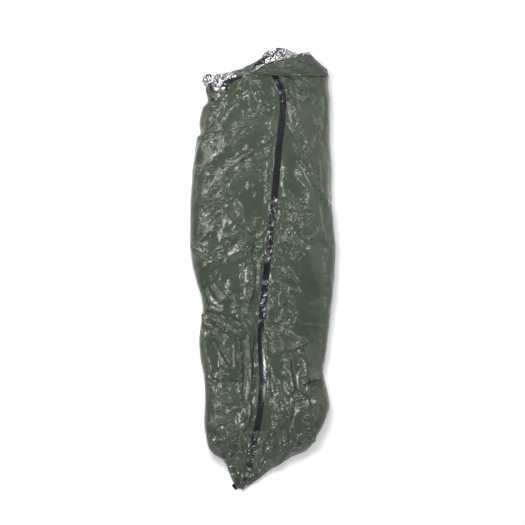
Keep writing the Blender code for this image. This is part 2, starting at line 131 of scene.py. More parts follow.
# Folds of the front, read from the photograph: points in pixels, width on the left and on the
# right hand in pixels, height in mm (a furrow's is below 0), and its share of that height at each end
FOLDS = [
    # Left shoulder and chest
    ([(239, 100), (226, 109), (213, 125)], 3, 15, 10, 0.6, 0.9),
    ([(247, 76), (238, 88), (227, 97)], 2, 3, 4, 1.0, 0.5),
    ([(247, 77), (246, 92), (252, 112)], 2, 2, 3, 1.0, 0.5),
    ([(248, 77), (262, 90), (272, 100)], 2, 3, 3, 1.0, 0.4),
    ([(247, 78), (240, 100), (236, 112)], 2, 2, -3, 1.0, 0.3),
    ([(249, 78), (256, 98), (262, 106)], 2, 2, -3, 1.0, 0.3),
    ([(247, 77), (234, 84), (226, 88)], 2, 2, -3, 1.0, 0.4),
    ([(249, 77), (264, 82), (276, 88)], 2, 2, -3, 1.0, 0.3),
    ([(280, 101), (262, 110), (246, 122), (229, 145)], 9, 11, 11, 0.5, 0.8),
    ([(229, 145), (214, 160), (200, 171)], 6, 7, 6, 0.9, 0.5),
    ([(273, 138), (258, 149), (239, 162)], 3, 16, 13, 0.6, 1.0),
    ([(268, 132), (245, 147), (214, 174)], 7, 8, -9, 0.7, 0.6),
    ([(199, 137), (212, 133), (224, 134)], 3, 8, 7, 0.7, 0.6),
    ([(197, 141), (212, 145), (226, 150)], 4, 6, -5, 0.6, 0.4),
    ([(194, 162), (207, 170), (213, 178)], 5, 6, 5, 0.4, 0.6),
    ([(269, 150), (267, 172), (268, 200)], 4, 4, 6, 0.8, 0.5),
    # Left belly and hip
    ([(226, 173), (216, 186), (205, 201)], 8, 10, 12, 0.6, 1.0),
    ([(205, 201), (222, 209), (236, 224)], 5, 10, 9, 1.0, 0.5),
    ([(224, 188), (237, 201), (240, 213), (240, 227)], 5, 12, 10, 0.6, 0.8),
    ([(252, 188), (255, 202), (258, 222)], 3, 6, 6, 0.6, 0.6),
    ([(240, 227), (249, 236), (262, 251)], 5, 5, -13, 0.6, 1.0),
    ([(264, 224), (252, 233)], 3, 6, 6, 0.7, 0.9),
    ([(195, 247), (203, 236), (216, 226)], 4, 6, 6, 0.9, 0.5),
    ([(195, 247), (206, 261), (226, 258), (247, 246)], 4, 8, 10, 0.9, 0.9),
    ([(228, 238), (238, 234), (247, 245)], 4, 6, 6, 0.5, 0.8),
    ([(248, 245), (253, 263), (253, 286), (247, 313), (257, 338)], 4, 6, 11, 0.8, 0.8),
    ([(240, 262), (244, 288), (241, 312)], 4, 4, -10, 0.6, 0.6),
    ([(261, 249), (257, 264), (256, 290), (257, 312)], 3, 4, -10, 0.8, 0.6),
    ([(207, 268), (216, 286), (234, 305), (240, 318)], 5, 9, 9, 0.5, 0.7),
    ([(204, 272), (208, 290), (214, 300)], 5, 4, -6, 0.4, 0.5),
    # Pinch at the left waist
    ([(203, 306), (210, 305), (222, 309)], 2, 3, -8, 1.0, 0.3),
    ([(203, 311), (220, 317), (238, 322)], 3, 4, -9, 1.0, 0.3),
    ([(203, 313), (222, 324), (238, 335)], 3, 6, 10, 1.0, 0.7),
    ([(204, 316), (217, 341), (231, 368)], 3, 5, 12, 1.0, 0.5),
    ([(215, 332), (223, 348), (230, 363)], 2, 4, 8, 0.6, 0.6),
    ([(210, 330), (218, 348), (227, 366)], 2, 2, -7, 0.6, 0.6),
    ([(217, 308), (240, 318), (249, 338)], 4, 6, 8, 0.5, 0.8),
    # Left leg
    ([(237, 336), (238, 360), (241, 388)], 5, 3, 10, 1.0, 0.6),
    ([(236, 337), (233, 350), (233, 366)], 3, 3, -7, 0.8, 0.4),
    ([(243, 340), (245, 368), (244, 404)], 4, 4, -16, 0.7, 0.7),
    ([(249, 338), (250.5, 364), (250, 412), (249, 426)], 2, 2.5, 10, 0.8, 0.6),
    ([(255, 336), (254, 372), (252, 418)], 3, 3, -15, 0.7, 0.7),
    ([(203, 326), (207, 350), (211, 374)], 10, 3, 13, 0.8, 0.8),
    ([(196, 340), (206, 357), (204, 370)], 3, 4, 6, 0.5, 0.8),
    ([(205, 372), (214, 381), (239, 382)], 3, 5, -11, 1.0, 0.5),
    ([(206, 380), (216, 394), (228, 408)], 5, 7, 8, 0.8, 0.5),
    ([(240, 390), (247, 407), (243, 428)], 3, 4, 9, 0.5, 0.8),
    ([(258, 378), (253, 400), (249, 424)], 2, 3, 6, 0.6, 0.6),
    ([(218, 410), (227, 414), (236, 408)], 3, 5, 8, 0.8, 0.5),
    ([(222, 412), (228, 430), (222, 448), (226, 463)], 6, 7, 10, 0.7, 0.6),
    ([(235, 414), (236, 436), (233, 458)], 4, 4, -9, 0.5, 0.6),
    ([(243, 428), (241, 442), (240, 456)], 4, 5, 9, 0.8, 0.6),
    ([(243, 458), (241, 475), (240, 490)], 3, 3, 6, 0.7, 1.0),
    ([(208, 402), (213, 420), (208, 436)], 4, 5, -7, 0.4, 0.7),
    # Right chest
    ([(281, 80), (296, 81), (313, 84)], 3, 3, 6, 0.6, 0.6),
    ([(290, 97), (295, 109), (300, 124), (299, 154)], 3, 8, 9, 0.8, 0.7),
    ([(297, 90), (308, 94), (314, 100)], 2, 5, 6, 0.7, 0.6),
    ([(282, 102), (288, 112), (292, 130)], 3, 5, -5, 0.8, 0.4),
    ([(299, 156), (311, 178), (325, 204)], 4, 5, 11, 0.7, 0.9),
    ([(309, 161), (318, 180), (326, 203)], 2, 5, 5, 0.6, 0.8),
    ([(304, 160), (314, 182), (323, 198)], 2, 2, -6, 0.6, 0.5),
    ([(316, 112), (322, 128), (325, 146)], 4, 4, -6, 0.4, 0.6),
    ([(303, 130), (316, 158), (330, 196)], 6, 7, 5, 0.3, 0.6),
    ([(280, 166), (285, 186), (289, 206)], 7, 5, 5, 0.4, 0.6),
    ([(324, 205), (328, 222), (330, 244)], 5, 4, -5, 0.7, 0.4),
    # Right belly
    ([(286, 196), (297, 209), (307, 230)], 6, 6, 8, 0.6, 0.5),
    ([(279, 208), (283, 222), (280, 236)], 4, 6, 6, 0.7, 0.5),
    ([(276, 246), (290, 238), (304, 226)], 4, 8, 8, 0.6, 0.5),
    ([(282, 240), (294, 244), (304, 256)], 5, 6, 8, 0.8, 0.6),
    ([(277, 281), (286, 271), (295, 282)], 6, 6, 11, 0.7, 0.7),
    ([(276, 284), (285, 282), (294, 284)], 3, 3, -7, 0.6, 0.6),
    ([(269, 286), (278, 294), (290, 298)], 4, 5, 7, 0.7, 0.5),
    ([(291, 298), (293, 312), (296, 322)], 5, 4, 7, 0.6, 0.6),
    ([(265, 321), (280, 321), (292, 322)], 2, 2, 5, 0.8, 0.6),
    ([(294, 324), (312, 325), (328, 327)], 2, 3, 3, 0.5, 0.8),
    ([(273, 300), (281, 304), (289, 302)], 3, 5, 6, 0.6, 0.6),
    # Right leg
    ([(273, 331), (284, 345), (289, 362), (293, 389)], 3, 9, 14, 0.6, 1.0),
    ([(269, 336), (270, 360), (272, 390)], 9, 2, 9, 0.8, 0.8),
    ([(282, 334), (292, 337), (303, 342)], 3, 5, 8, 0.5, 0.9),
    ([(286, 350), (296, 348), (304, 344)], 5, 3, 8, 0.7, 0.9),
    ([(301, 345), (305, 364), (308, 386)], 2.5, 5, 16, 0.8, 1.0),
    ([(291, 352), (296, 370), (298, 388)], 4, 4, -11, 0.6, 0.7),
    ([(326, 343), (317, 362), (310, 380)], 1.5, 2, 3, 0.7, 0.9),
    ([(265, 362), (272, 377), (279, 392), (281, 410)], 4, 2, 6, 0.6, 0.9),
    ([(269, 376), (272, 394), (272, 418)], 3, 4, -9, 0.5, 0.6),
    ([(306, 386), (314, 383), (324, 381)], 3, 3, -13, 0.8, 1.0),
    ([(306, 394), (314, 387), (322, 385)], 2, 5, 10, 0.9, 0.7),
    ([(292, 389), (298, 393), (304, 397)], 3, 5, 9, 0.8, 1.0),
    ([(304, 397), (294, 400), (288, 414)], 3, 4, 8, 1.0, 0.6),
    ([(305, 397), (311, 408), (314, 438)], 3, 7, 18, 0.8, 1.0),
    ([(315, 398), (316, 414), (312, 428)], 9, 13, 13, 0.8, 0.5),
    ([(284, 406), (282, 424), (273, 441)], 3, 8, 11, 1.0, 0.9),
    ([(296, 404), (292, 424), (287, 440)], 4, 4, -11, 0.8, 0.5),
    ([(292, 431), (297, 440), (300, 446)], 3, 4, -9, 0.6, 0.9),
    ([(297, 440), (306, 438), (316, 441)], 3, 6, 9, 0.8, 0.8),
    ([(292, 433), (288, 446), (284, 458)], 2, 4, 7, 0.8, 0.8),
    ([(263, 440), (262, 456), (256, 470)], 6, 6, -6, 0.5, 0.5),
    ([(276, 446), (270, 460), (262, 470)], 5, 5, 5, 0.6, 0.5),
    ([(322, 404), (318, 420), (312, 430)], 4, 4, -6, 0.4, 0.6),
    ([(268, 446), (264, 462), (254, 476)], 3, 3, -5, 0.8, 0.6),
    ([(278, 440), (274, 456), (268, 468)], 2, 3, 4, 0.8, 0.6),
    ([(292, 448), (284, 456), (276, 466)], 2, 3, -5, 0.8, 0.7),
]
# Places where the film is crumpled finely: from and to in pixels, half its width in pixels, strength
CRUMPLED = [
    # Left shoulder and chest
    (232, 92, 262, 90, 8, 0.30), (228, 99, 206, 118, 5, 0.6), (237, 101, 215, 122, 3, 0.8),
    (207, 124, 213, 128, 4, 0.9), (199, 137, 223, 134, 4, 1.0), (203, 143, 212, 147, 4, 0.5),
    (279, 101, 262, 108, 3, 0.8), (262, 109, 246, 122, 7, 0.9), (274, 120, 272, 137, 4, 0.9),
    (246, 122, 230, 144, 6, 0.9), (222, 152, 214, 159, 3, 0.6), (210, 167, 195, 172, 5, 0.9),
    (276, 136, 242, 160, 2, 0.8), (242, 158, 216, 172, 5, 0.7), (212, 178, 199, 193, 5, 0.7),
    (245, 161, 266, 154, 7, 1.0), (243, 166, 249, 168, 3, 1.0), (262, 164, 266, 178, 4, 0.8),
    (266, 180, 268, 198, 2, 0.6), (270, 80, 276, 96, 4, 0.35),
    # Left belly and hip
    (248, 184, 254, 190, 3, 0.5), (224, 176, 208, 200, 4, 0.9), (224, 192, 219, 205, 8, 0.9),
    (232, 195, 239, 212, 3, 0.8), (239, 212, 240, 224, 2, 0.6), (220, 214, 214, 236, 3, 0.6),
    (204, 206, 213, 222, 4, 0.6), (199, 217, 203, 222, 3, 0.7), (200, 238, 196, 247, 3, 0.8),
    (196, 247, 224, 250, 4, 0.8), (228, 240, 246, 246, 6, 1.0), (235, 230, 242, 242, 2, 0.7),
    (203, 258, 224, 258, 4, 0.8), (214, 270, 234, 298, 6, 0.4), (228, 292, 238, 312, 4, 0.9),
    (256, 236, 263, 227, 4, 0.7), (259, 246, 262, 272, 4, 0.6), (249, 246, 253, 282, 2, 0.6),
    (250, 286, 247, 310, 3, 0.8),
    # Left leg
    (247, 315, 256, 336, 2, 0.8), (205, 314, 236, 334, 3, 0.5), (216, 334, 222, 350, 3, 0.8),
    (222, 350, 230, 364, 3, 0.9), (226, 366, 220, 378, 4, 1.0), (237, 338, 241, 380, 2, 0.9),
    (209, 384, 236, 388, 4, 0.6), (212, 388, 226, 402, 6, 0.7), (219, 411, 234, 413, 3, 1.0),
    (222, 414, 228, 434, 8, 1.0), (219, 436, 219, 444, 3, 0.7), (220, 444, 225, 460, 5, 1.0),
    (240, 394, 247, 408, 2, 0.8), (246, 415, 241, 430, 3, 0.9), (241, 432, 246, 440, 3, 0.9),
    (238, 440, 240, 453, 4, 1.0), (257, 380, 253, 400, 3, 0.6), (230, 452, 234, 474, 4, 0.9),
    (210, 426, 212, 444, 4, 0.6),
    # Right chest
    (283, 79, 311, 82, 4, 1.0), (297, 90, 313, 98, 2, 0.8), (281, 101, 286, 99, 3, 0.6),
    (292, 98, 299, 120, 4, 0.9), (298, 126, 300, 154, 4, 1.0), (300, 156, 306, 152, 3, 0.9),
    (300, 157, 323, 202, 2, 1.0), (309, 161, 325, 200, 2, 0.9), (305, 163, 318, 185, 4, 0.7),
    (317, 126, 322, 142, 3, 0.4), (282, 170, 286, 180, 3, 0.5),
    # Right belly
    (280, 208, 286, 234, 8, 1.0), (292, 202, 308, 228, 8, 1.0), (303, 198, 300, 206, 2, 0.7),
    (284, 240, 300, 248, 5, 1.0), (290, 250, 298, 258, 4, 0.8), (276, 246, 278, 262, 4, 0.6),
    (275, 264, 284, 272, 4, 0.8), (277, 280, 286, 272, 2, 1.0), (286, 272, 294, 281, 2, 1.0),
    (269, 287, 277, 295, 3, 0.9), (285, 288, 287, 298, 5, 0.6), (272, 303, 288, 306, 5, 1.0),
    (280, 300, 282, 318, 6, 0.9), (291, 305, 294, 318, 3, 0.8), (266, 321, 290, 322, 1.5, 0.9),
    (270, 326, 292, 327, 4, 0.6),
    # Right leg
    (268, 330, 276, 343, 4, 1.0), (276, 343, 285, 358, 6, 0.7), (285, 358, 290, 387, 4, 0.7),
    (284, 346, 302, 342, 4, 0.9), (299, 346, 306, 384, 3, 1.0), (266, 345, 268, 352, 2, 0.9),
    (294, 391, 302, 396, 3, 0.9), (305, 396, 311, 389, 3, 0.9), (311, 389, 320, 386, 4, 0.9),
    (314, 393, 320, 402, 3, 0.7), (303, 404, 310, 438, 5, 0.8), (267, 370, 279, 390, 1.5, 0.7),
    (279, 392, 280, 404, 3, 0.8), (279, 406, 277, 420, 5, 0.7), (276, 420, 269, 438, 5, 0.7),
    (292, 404, 289, 416, 3, 0.9), (298, 442, 312, 443, 3, 1.0), (288, 444, 283, 457, 2, 0.9),
    (276, 448, 266, 462, 4, 0.9), (254, 452, 258, 470, 5, 0.9), (292, 446, 276, 466, 5, 0.9),
    (316, 412, 306, 434, 4, 0.6), (324, 238, 327, 292, 6, 0.25),
]
# How crumpled the film is elsewhere, and how many half widths away a crumpled place ends
LEAST_CRUMPLE = 0.13
CRUMPLE_REACH = 1.6
# Crinkled stretches of the closure tape: first and last row in pixels, strength
TAPE_CRINKLES = [
    (80, 84, 0.4), (92, 95, 0.4), (99, 103, 0.5), (199, 214, 1.0), (217, 239, 0.9), (244, 261, 1.0),
    (281, 285, 0.9), (292, 322, 0.6), (430, 450, 0.3), (451, 462, 0.6), (468, 482, 0.9), (484, 491, 0.35),
]
TAPE_CRINKLE_FADE_PX = 2.0
TAPE_CRINKLE_HEIGHT = 1.1
SMOOTH_TAPE = 0.10
# Calmer strips along the closure: place and half width along the film, and how far they fade out
LAP_STRIP = (-0.008, 0.022, 0.020)
TAPE_STRIP = (-0.002, 0.014, 0.010)
# Shares of the relief that the lap and the stiffer tape don't follow
LAP_CALM = 0.55
TAPE_STIFFNESS = 0.92
# The relief grows over this many steps from the seams and over this distance from the tip
SEAM_FADE_STEPS = 6.0
TIP_FADE = 0.05
# Steep sides carry less of it: the least share, and how fast it grows as the film gets level
STEEP_SHARE = 0.25
LEVEL_GAIN = 1.6
# The right film comes down from the lap over this many steps
LAP_RISE_STEPS = 70.0
# Grid steps over which a lining keeps below its film's lowest place: front and collar, back and hood
FRONT_REACH = 2
BACK_REACH = 1

# How far folds and crumpled places waver from their lines, in pixels, and the size in metres and seed of
# the waves that move them aside and along the bag
FOLD_WAVER = 0.8
FOLD_WAVES = [(0.075, 3), (0.085, 4)]
CRUMPLE_WAVER = 1.2
CRUMPLE_WAVES = [(0.035, 5), (0.04, 6)]
# Slow waves: how many are added up, how fast they are for their size, and their common strength
WAVE_COUNT = 7
WAVE_RATES = (0.7, 1.5)
WAVE_GAIN = 1.6
# How far cells are bent by slow waves and how long these are, in cells, and the seeds of the two waves
WARP = 0.35
WARP_LENGTH = 2.3
WARP_SEEDS = (11, 12)
# Two seed points count as at least this many cells apart, and this mixes their numbers into their edge's
LEAST_APART = 0.05
NUMBER_MIX = 7.31
# Facets rise from their edges and sink with the squared distance from their middles
FACET_RISE = 1.1
FACET_SINK = 0.45
# Folds and creases are tents whose sides get steeper towards the top, by these powers
FOLD_SHARPNESS = 1.25
CREASE_SHARPNESS = 1.3
# Share of the creases that are furrows, how deep these are, and where the ridges' strength starts
FURROW_SHARE = 0.30
FURROW_DEPTH = 0.8
RIDGE_START = 0.15
# How the crumple leans on each side of the tape in degrees, and the first of its seeds
LEFT_CRUMPLE = (42, 0)
RIGHT_CRUMPLE = (-62, 20)
# Its layers: height as a share of the cell, cell, seed, lean, stretch, strength where the film is calm,
# and what is added where it is crumpled
CRUMPLE_LAYERS = [
    (0.20, 0.105, 5, 0, 2.2, 1.0, -0.4),
    (0.13, 0.048, 6, 20, 1.8, 1.0, 0.0),
    (0.54, 0.031, 8, 0, 2.0, 0.0, 1.0),
    (0.60, 0.015, 9, -25, 1.5, 0.0, 1.0),
]
# Its narrow creases
CREASE_HEIGHT = 0.0010
CREASE_CELL = 0.028
CREASE_WIDTH = 0.0065
CREASE_SEED = 7
CREASE_STRETCH = 1.6
# Layers of the other sheets: height as a share of the cell, cell, seed, lean, stretch
TAPE_LAYERS = [(1.0, 0.0125, 35, 15, 1.3)]
BACK_LAYERS = [(0.10, 0.06, 31, 0, 1.0)]
COLLAR_LAYERS = [(0.14, 0.040, 41, 10, 1.8), (0.10, 0.017, 42, 10, 1.6)]
SILVER_LAYERS = [(1.3, 0.014, 43, 70, 1.3)]
HOOD_LAYERS = [(1.0, 0.034, 61, 60, 1.5), (0.9, 0.016, 62, -30, 1.3)]
TAIL_LAYERS = [(0.4, 0.012, 71, 20, 1.3)]


# Lines and surfaces

def smooth(points, at):
    """Value at each position of the monotone cubic through (position, value) points."""
    places, values = np.array(points, float).T
    spans = np.diff(places)
    steps = np.diff(values) / spans
    product = steps[:-1] * steps[1:]
    total = steps[:-1] + steps[1:]
    inner = np.where(product > 0, 2 * product / np.where(total == 0, 1.0, total), 0.0)
    slopes = np.concatenate([steps[:1], inner, steps[-1:]])
    at = np.clip(at, places[0], places[-1])
    i = np.clip(np.searchsorted(places, at, side="right") - 1, 0, len(spans) - 1)
    t = (at - places[i]) / spans[i]
    return (
        (1 + 2 * t) * (1 - t) ** 2 * values[i]
        + t * (1 - t) ** 2 * spans[i] * slopes[i]
        + t * t * (3 - 2 * t) * values[i + 1]
        + t * t * (t - 1) * spans[i] * slopes[i + 1]
    )


def smooth_evenly(values, share):
    """Value at each share of the way along values that lie at even steps."""
    return smooth(np.stack([np.linspace(0.0, 1.0, len(values)), values], axis=1), share)


def ease(t):
    """0 to 1 with level ends."""
    t = np.clip(t, 0.0, 1.0)
    return t * t * (3 - 2 * t)


def across(px):
    """X of a pixel column."""
    return (px - CENTRE_PX) * PIXEL


def along_bag(py):
    """Distance of a pixel row from the foot tip."""
    return (TIP_PY - py) * PIXEL


def pixels(x, y):
    """Pixel column and row of a place seen from above."""
    return x / PIXEL + CENTRE_PX, TIP_PY - (y + MIDDLE) / PIXEL


def edges(d):
    """Left and right x of the bag's outline."""
    py = TIP_PY - d / PIXEL
    return across(smooth(LEFT_EDGE[::-1], py)), across(smooth(RIGHT_EDGE[::-1], py))


def seam_height(d):
    return np.minimum(SEAM_HEIGHT, SEAM_SHARE * smooth(CROWN_LINE, d))


def fullness(share):
    """Power of the section's curve: the left side is flatter on top than the right one."""
    return np.where(share < 0, LEFT_FULLNESS, RIGHT_FULLNESS)


def swell(d, x):
    """How far the front stands over its plain arch."""
    return sum(
        height * np.exp(-((d - at) / length) ** 2 - ((x - middle) / width) ** 2)
        for at, middle, length, width, height in SWELLS
    )


def section(d, turn):
    """X and z of the front of the bag. Turn runs from 0 at the left seam to pi at the right one."""
    left, right = edges(d)
    seam = seam_height(d) + SEAM_GAP / 2
    across_share = -np.cos(turn)
    power = fullness(across_share)
    x = (left + right) / 2 + (right - left) / 2 * np.sign(across_share) * np.abs(across_share) ** power
    z = seam + (smooth(CROWN_LINE, d) - seam + swell(d, x)) * np.clip(np.sin(turn), 0.0, None) ** power
    return x, z


def turn_at(d, x):
    left, right = edges(d)
    share = np.clip((2 * x - left - right) / (right - left), -1.0, 1.0)
    return np.arccos(-np.sign(share) * np.abs(share) ** (1 / fullness(share)))


def lap_x(d, offset):
    """X of a line beside the middle of the tape, which comes closer where the bag is narrow."""
    left, right = edges(d)
    return smooth(TAPE_LINE, d) + offset * np.minimum(1.0, (right - left) / LAP_FULL_WIDTH)


def even_turns(d, first, last, count):
    """Turns from first to last in each row, at even steps along the surface."""
    turns = first[:, None] + (last - first)[:, None] * np.linspace(0.0, 1.0, ARC_SAMPLES)
    x, z = section(d[:, None], turns)
    lengths = np.zeros_like(x)
    lengths[:, 1:] = np.cumsum(np.hypot(np.diff(x, axis=1), np.diff(z, axis=1)), axis=1)
    wanted = np.linspace(0.0, 1.0, count + 1)
    return np.array([np.interp(wanted * row[-1], row, turn) for row, turn in zip(lengths, turns)])


def grid_normals(points):
    """Outward normals of a grid of points, whose columns run to +X and rows to +Y."""
    normals = np.cross(np.gradient(points, axis=1), np.gradient(points, axis=0))
    return normals / np.maximum(np.linalg.norm(normals, axis=2, keepdims=True), 1e-12)


def flat_lengths(points):
    """Flat coordinates of a grid, from the lengths of its rows and columns."""
    aside = np.linalg.norm(np.diff(points, axis=1), axis=2)
    up = np.linalg.norm(np.diff(points, axis=0), axis=2)
    u = np.concatenate([np.zeros((len(points), 1)), np.cumsum(aside, axis=1)], axis=1)
    v = np.concatenate([np.zeros((1, points.shape[1])), np.cumsum(up, axis=0)], axis=0)
    return np.stack([u, v + 3.0], axis=2)


def surface_of(points):
    """A surface is a grid of points with its normals and its flat coordinates."""
    return points, grid_normals(points), flat_lengths(points)


def part_of(surface, place):
    return tuple(grid[place] for grid in surface)


# Crumple

def hashed(i, j, seed):
    """Three repeatable random numbers from 0 to 1 for each cell."""
    base = (i.astype(np.int64) * 73856093) ^ (j.astype(np.int64) * 19349663) ^ (seed * 83492791)
    found = []
    for k in range(3):
        n = (base + k * 374761393) & 0x7FFFFFFF
        n = ((n ^ (n >> 13)) * 1274126177) & 0x7FFFFFFF
        n = ((n ^ (n >> 16)) * 668265263) & 0x7FFFFFFF
        found.append(((n ^ (n >> 15)) & 0xFFFFFF) / 0xFFFFFF)
    return found


def cells(u, v, size, seed):
    """Squared distance to the nearest seed point, distance to its cell's edge and that edge's own number.

    Distances are in cell sizes, and the number, from 0 to 1, is the same on both sides of the edge."""
    gu, gv = u / size, v / size
    iu, iv = np.floor(gu), np.floor(gv)
    near = [np.full(u.shape, FAR)] + [np.zeros(u.shape) for _ in range(3)]
    next_one = [np.full(u.shape, FAR)] + [np.zeros(u.shape) for _ in range(3)]
    for di in range(-2, 3):
        for dj in range(-2, 3):
            a, b, c = hashed(iu + di, iv + dj, seed)
            found = [(iu + di + a - gu) ** 2 + (iv + dj + b - gv) ** 2, iu + di + a, iv + dj + b, c]
            closer = found[0] < near[0]
            second = ~closer & (found[0] < next_one[0])
            next_one = [np.where(closer, n, np.where(second, f, o)) for n, f, o in zip(near, found, next_one)]
            near = [np.where(closer, f, n) for n, f in zip(near, found)]
    apart = np.hypot(near[1] - next_one[1], near[2] - next_one[2])
    edge = (next_one[0] - near[0]) / (2 * np.maximum(apart, LEAST_APART))
    number = (near[3] + next_one[3]) * NUMBER_MIX % 1.0
    return near[0], edge, number


def waves(u, v, size, seed):
    """Slow smooth noise from -1 to 1, as a sum of sines."""
    rng = np.random.default_rng(seed)
    total = np.zeros(u.shape)
    for _ in range(WAVE_COUNT):
        angle, phase = rng.uniform(0, 2 * math.pi, 2)
        rate = rng.uniform(*WAVE_RATES) * 2 * math.pi / size
        total += np.sin((u * math.cos(angle) + v * math.sin(angle)) * rate + phase)
    return total / WAVE_COUNT * WAVE_GAIN


def warped(u, v, size, seed, degrees, stretch):
    """Wavy coordinates in which folds along that direction come out longer."""
    bend, length = size * WARP, size * WARP_LENGTH
    wu, wv = (at + bend * waves(u, v, length, seed + after) for at, after in zip((u, v), WARP_SEEDS))
    cosine, sine = math.cos(math.radians(degrees)), math.sin(math.radians(degrees))
    return (wu * cosine + wv * sine) / stretch, -wu * sine + wv * cosine


def facets(u, v, size, seed, degrees, stretch):
    """Height of flat-sided folds, with slopes of about 1, from cells of that size in metres."""
    near, edge, _ = cells(*warped(u, v, size, seed, degrees, stretch), size, seed)
    return size * (FACET_RISE * edge - FACET_SINK * near)


def planes(u, v, size, seed, degrees, stretch):
    """Height of flat triangular facets between random heights on a lattice, with slopes of about 0.5."""
    along, aside = warped(u, v, size, seed, degrees, stretch)
    b = 2 * aside / (size * math.sqrt(3))
    a = along / size - b / 2
    i, j = np.floor(a), np.floor(b)
    fa, fb = a - i, b - j
    first, second = hashed(i + 1, j, seed)[0], hashed(i, j + 1, seed)[0]
    lower = hashed(i, j, seed)[0] * (1 - fa - fb) + first * fa + second * fb
    upper = hashed(i + 1, j + 1, seed)[0] * (fa + fb - 1) + second * (1 - fa) + first * (1 - fb)
    return size * (np.where(fa + fb > 1, upper, lower) - 0.5)


def creases(u, v, size, seed, width, degrees, stretch):
    """Narrow ridges and furrows along the edges of cells, from -1 to 1. Each has its own strength."""
    _, edge, number = cells(*warped(u, v, size, seed, degrees, stretch), size, seed)
    ridge = (number - RIDGE_START) / (1 - RIDGE_START)
    strength = np.where(number > FURROW_SHARE, ridge, -number / FURROW_SHARE * FURROW_DEPTH)
    return strength * np.clip(1.0 - edge * size / width, 0.0, None) ** CREASE_SHARPNESS


def layered(uv, layers, shape):
    """Height over flat coordinates from layers of facets or planes."""
    return sum(share * shape(uv[..., 0], uv[..., 1], *layer) for share, *layer in layers)


def crumple_height(s, d, crumple, lean, first_seed):
    """Height of the front's crumple on one side of the tape."""
    height = sum(
        share * planes(s, d, cell, first_seed + seed, lean + turn, stretch) * (calm + more * crumple)
        for share, cell, seed, turn, stretch, calm, more in CRUMPLE_LAYERS
    )
    narrow = creases(s, d, CREASE_CELL, first_seed + CREASE_SEED, CREASE_WIDTH, lean, CREASE_STRETCH)
    return height + CREASE_HEIGHT * narrow * crumple


def to_line(px, py, start, end):
    """Distance of places to a straight line, how far along it they lie, and how far to its right hand."""
    length = math.dist(start, end)
    dx, dy = (end[0] - start[0]) / length, (end[1] - start[1]) / length
    qx, qy = px - start[0], py - start[1]
    along = np.clip(qx * dx + qy * dy, 0.0, length)
    return np.hypot(qx - dx * along, qy - dy * along), along, dx * qy - dy * qx


def fold_height(px, py, points, left, right, height, start, end):
    """Height in mm of one fold: a tent along a line, with its own width on each hand."""
    best = np.full(px.shape, FAR)
    hand = np.zeros(px.shape)
    place = np.zeros(px.shape)
    before = 0.0
    for first, last in zip(points[:-1], points[1:]):
        far, along, aside = to_line(px, py, first, last)
        closer = far < best
        best = np.where(closer, far, best)
        hand = np.where(closer, aside, hand)
        place = np.where(closer, before + along, place)
        before += math.dist(first, last)
    width = np.where(hand > 0, right, left)
    profile = np.clip(1.0 - best / width, 0.0, None) ** FOLD_SHARPNESS
    return height * profile * (start + (end - start) * place / before)


def folded(px, py, folds):
    """Height in metres of a list of folds."""
    return sum(fold_height(px, py, *fold) for fold in folds) / MILLIMETRES


def crumpled(px, py):
    """How finely the film is crumpled at each place, from 0 to 1."""
    found = np.full(px.shape, LEAST_CRUMPLE)
    for ax, ay, bx, by, half_width, strength in CRUMPLED:
        far, _, _ = to_line(px, py, (ax, ay), (bx, by))
        found = np.maximum(found, strength * ease(CRUMPLE_REACH - far / half_width))
    return found


def tape_crinkle(y):
    """How crinkled the closure tape is along the bag, from 0 to 1."""
    _, py = pixels(0.0, y)
    found = np.full(y.shape, SMOOTH_TAPE)
    for first, last, strength in TAPE_CRINKLES:
        past = np.maximum(np.maximum(first - py, py - last), 0.0)
        found = np.maximum(found, strength * ease(1 - past / TAPE_CRINKLE_FADE_PX))
    return found


def relief(x, y, s, d):
    """How far the film stands off by its folds and by its crumple, and how crumpled it is."""
    place = [at + FOLD_WAVER * waves(x, y, *wave) for at, wave in zip(pixels(x, y), FOLD_WAVES)]
    crumple = crumpled(*(at + CRUMPLE_WAVER * waves(x, y, *wave) for at, wave in zip(place, CRUMPLE_WAVES)))
    left, right = (crumple_height(s, d, crumple, *side) for side in (LEFT_CRUMPLE, RIGHT_CRUMPLE))
    return folded(*place, FOLDS), np.where(s < 0, left, right), crumple


# Meshes

def shell_faces(rows, columns):
    """Quads of a closed sheet whose outer grid comes first and its inner grid second."""
    size = rows * columns
    i, j = np.meshgrid(np.arange(rows - 1), np.arange(columns - 1), indexing="ij")
    a = (i * columns + j).ravel()
    outer = np.stack([a, a + 1, a + columns + 1, a + columns], axis=1)
    inner = outer[:, ::-1] + size
    border = np.concatenate([
        np.arange(columns),
        np.arange(1, rows) * columns + columns - 1,
        (rows - 1) * columns + np.arange(columns - 2, -1, -1),
        np.arange(rows - 2, 0, -1) * columns,
    ])
    after = np.roll(border, -1)
    rim = np.stack([border, border + size, after + size, after], axis=1)
    return np.concatenate([outer, inner, rim])


def add_mesh(name, points, faces):
    mesh = bpy.data.meshes.new(name)
    mesh.from_pydata(points, [], faces)
    obj = bpy.data.objects.new(name, mesh)
    bpy.context.scene.collection.objects.link(obj)
    return obj


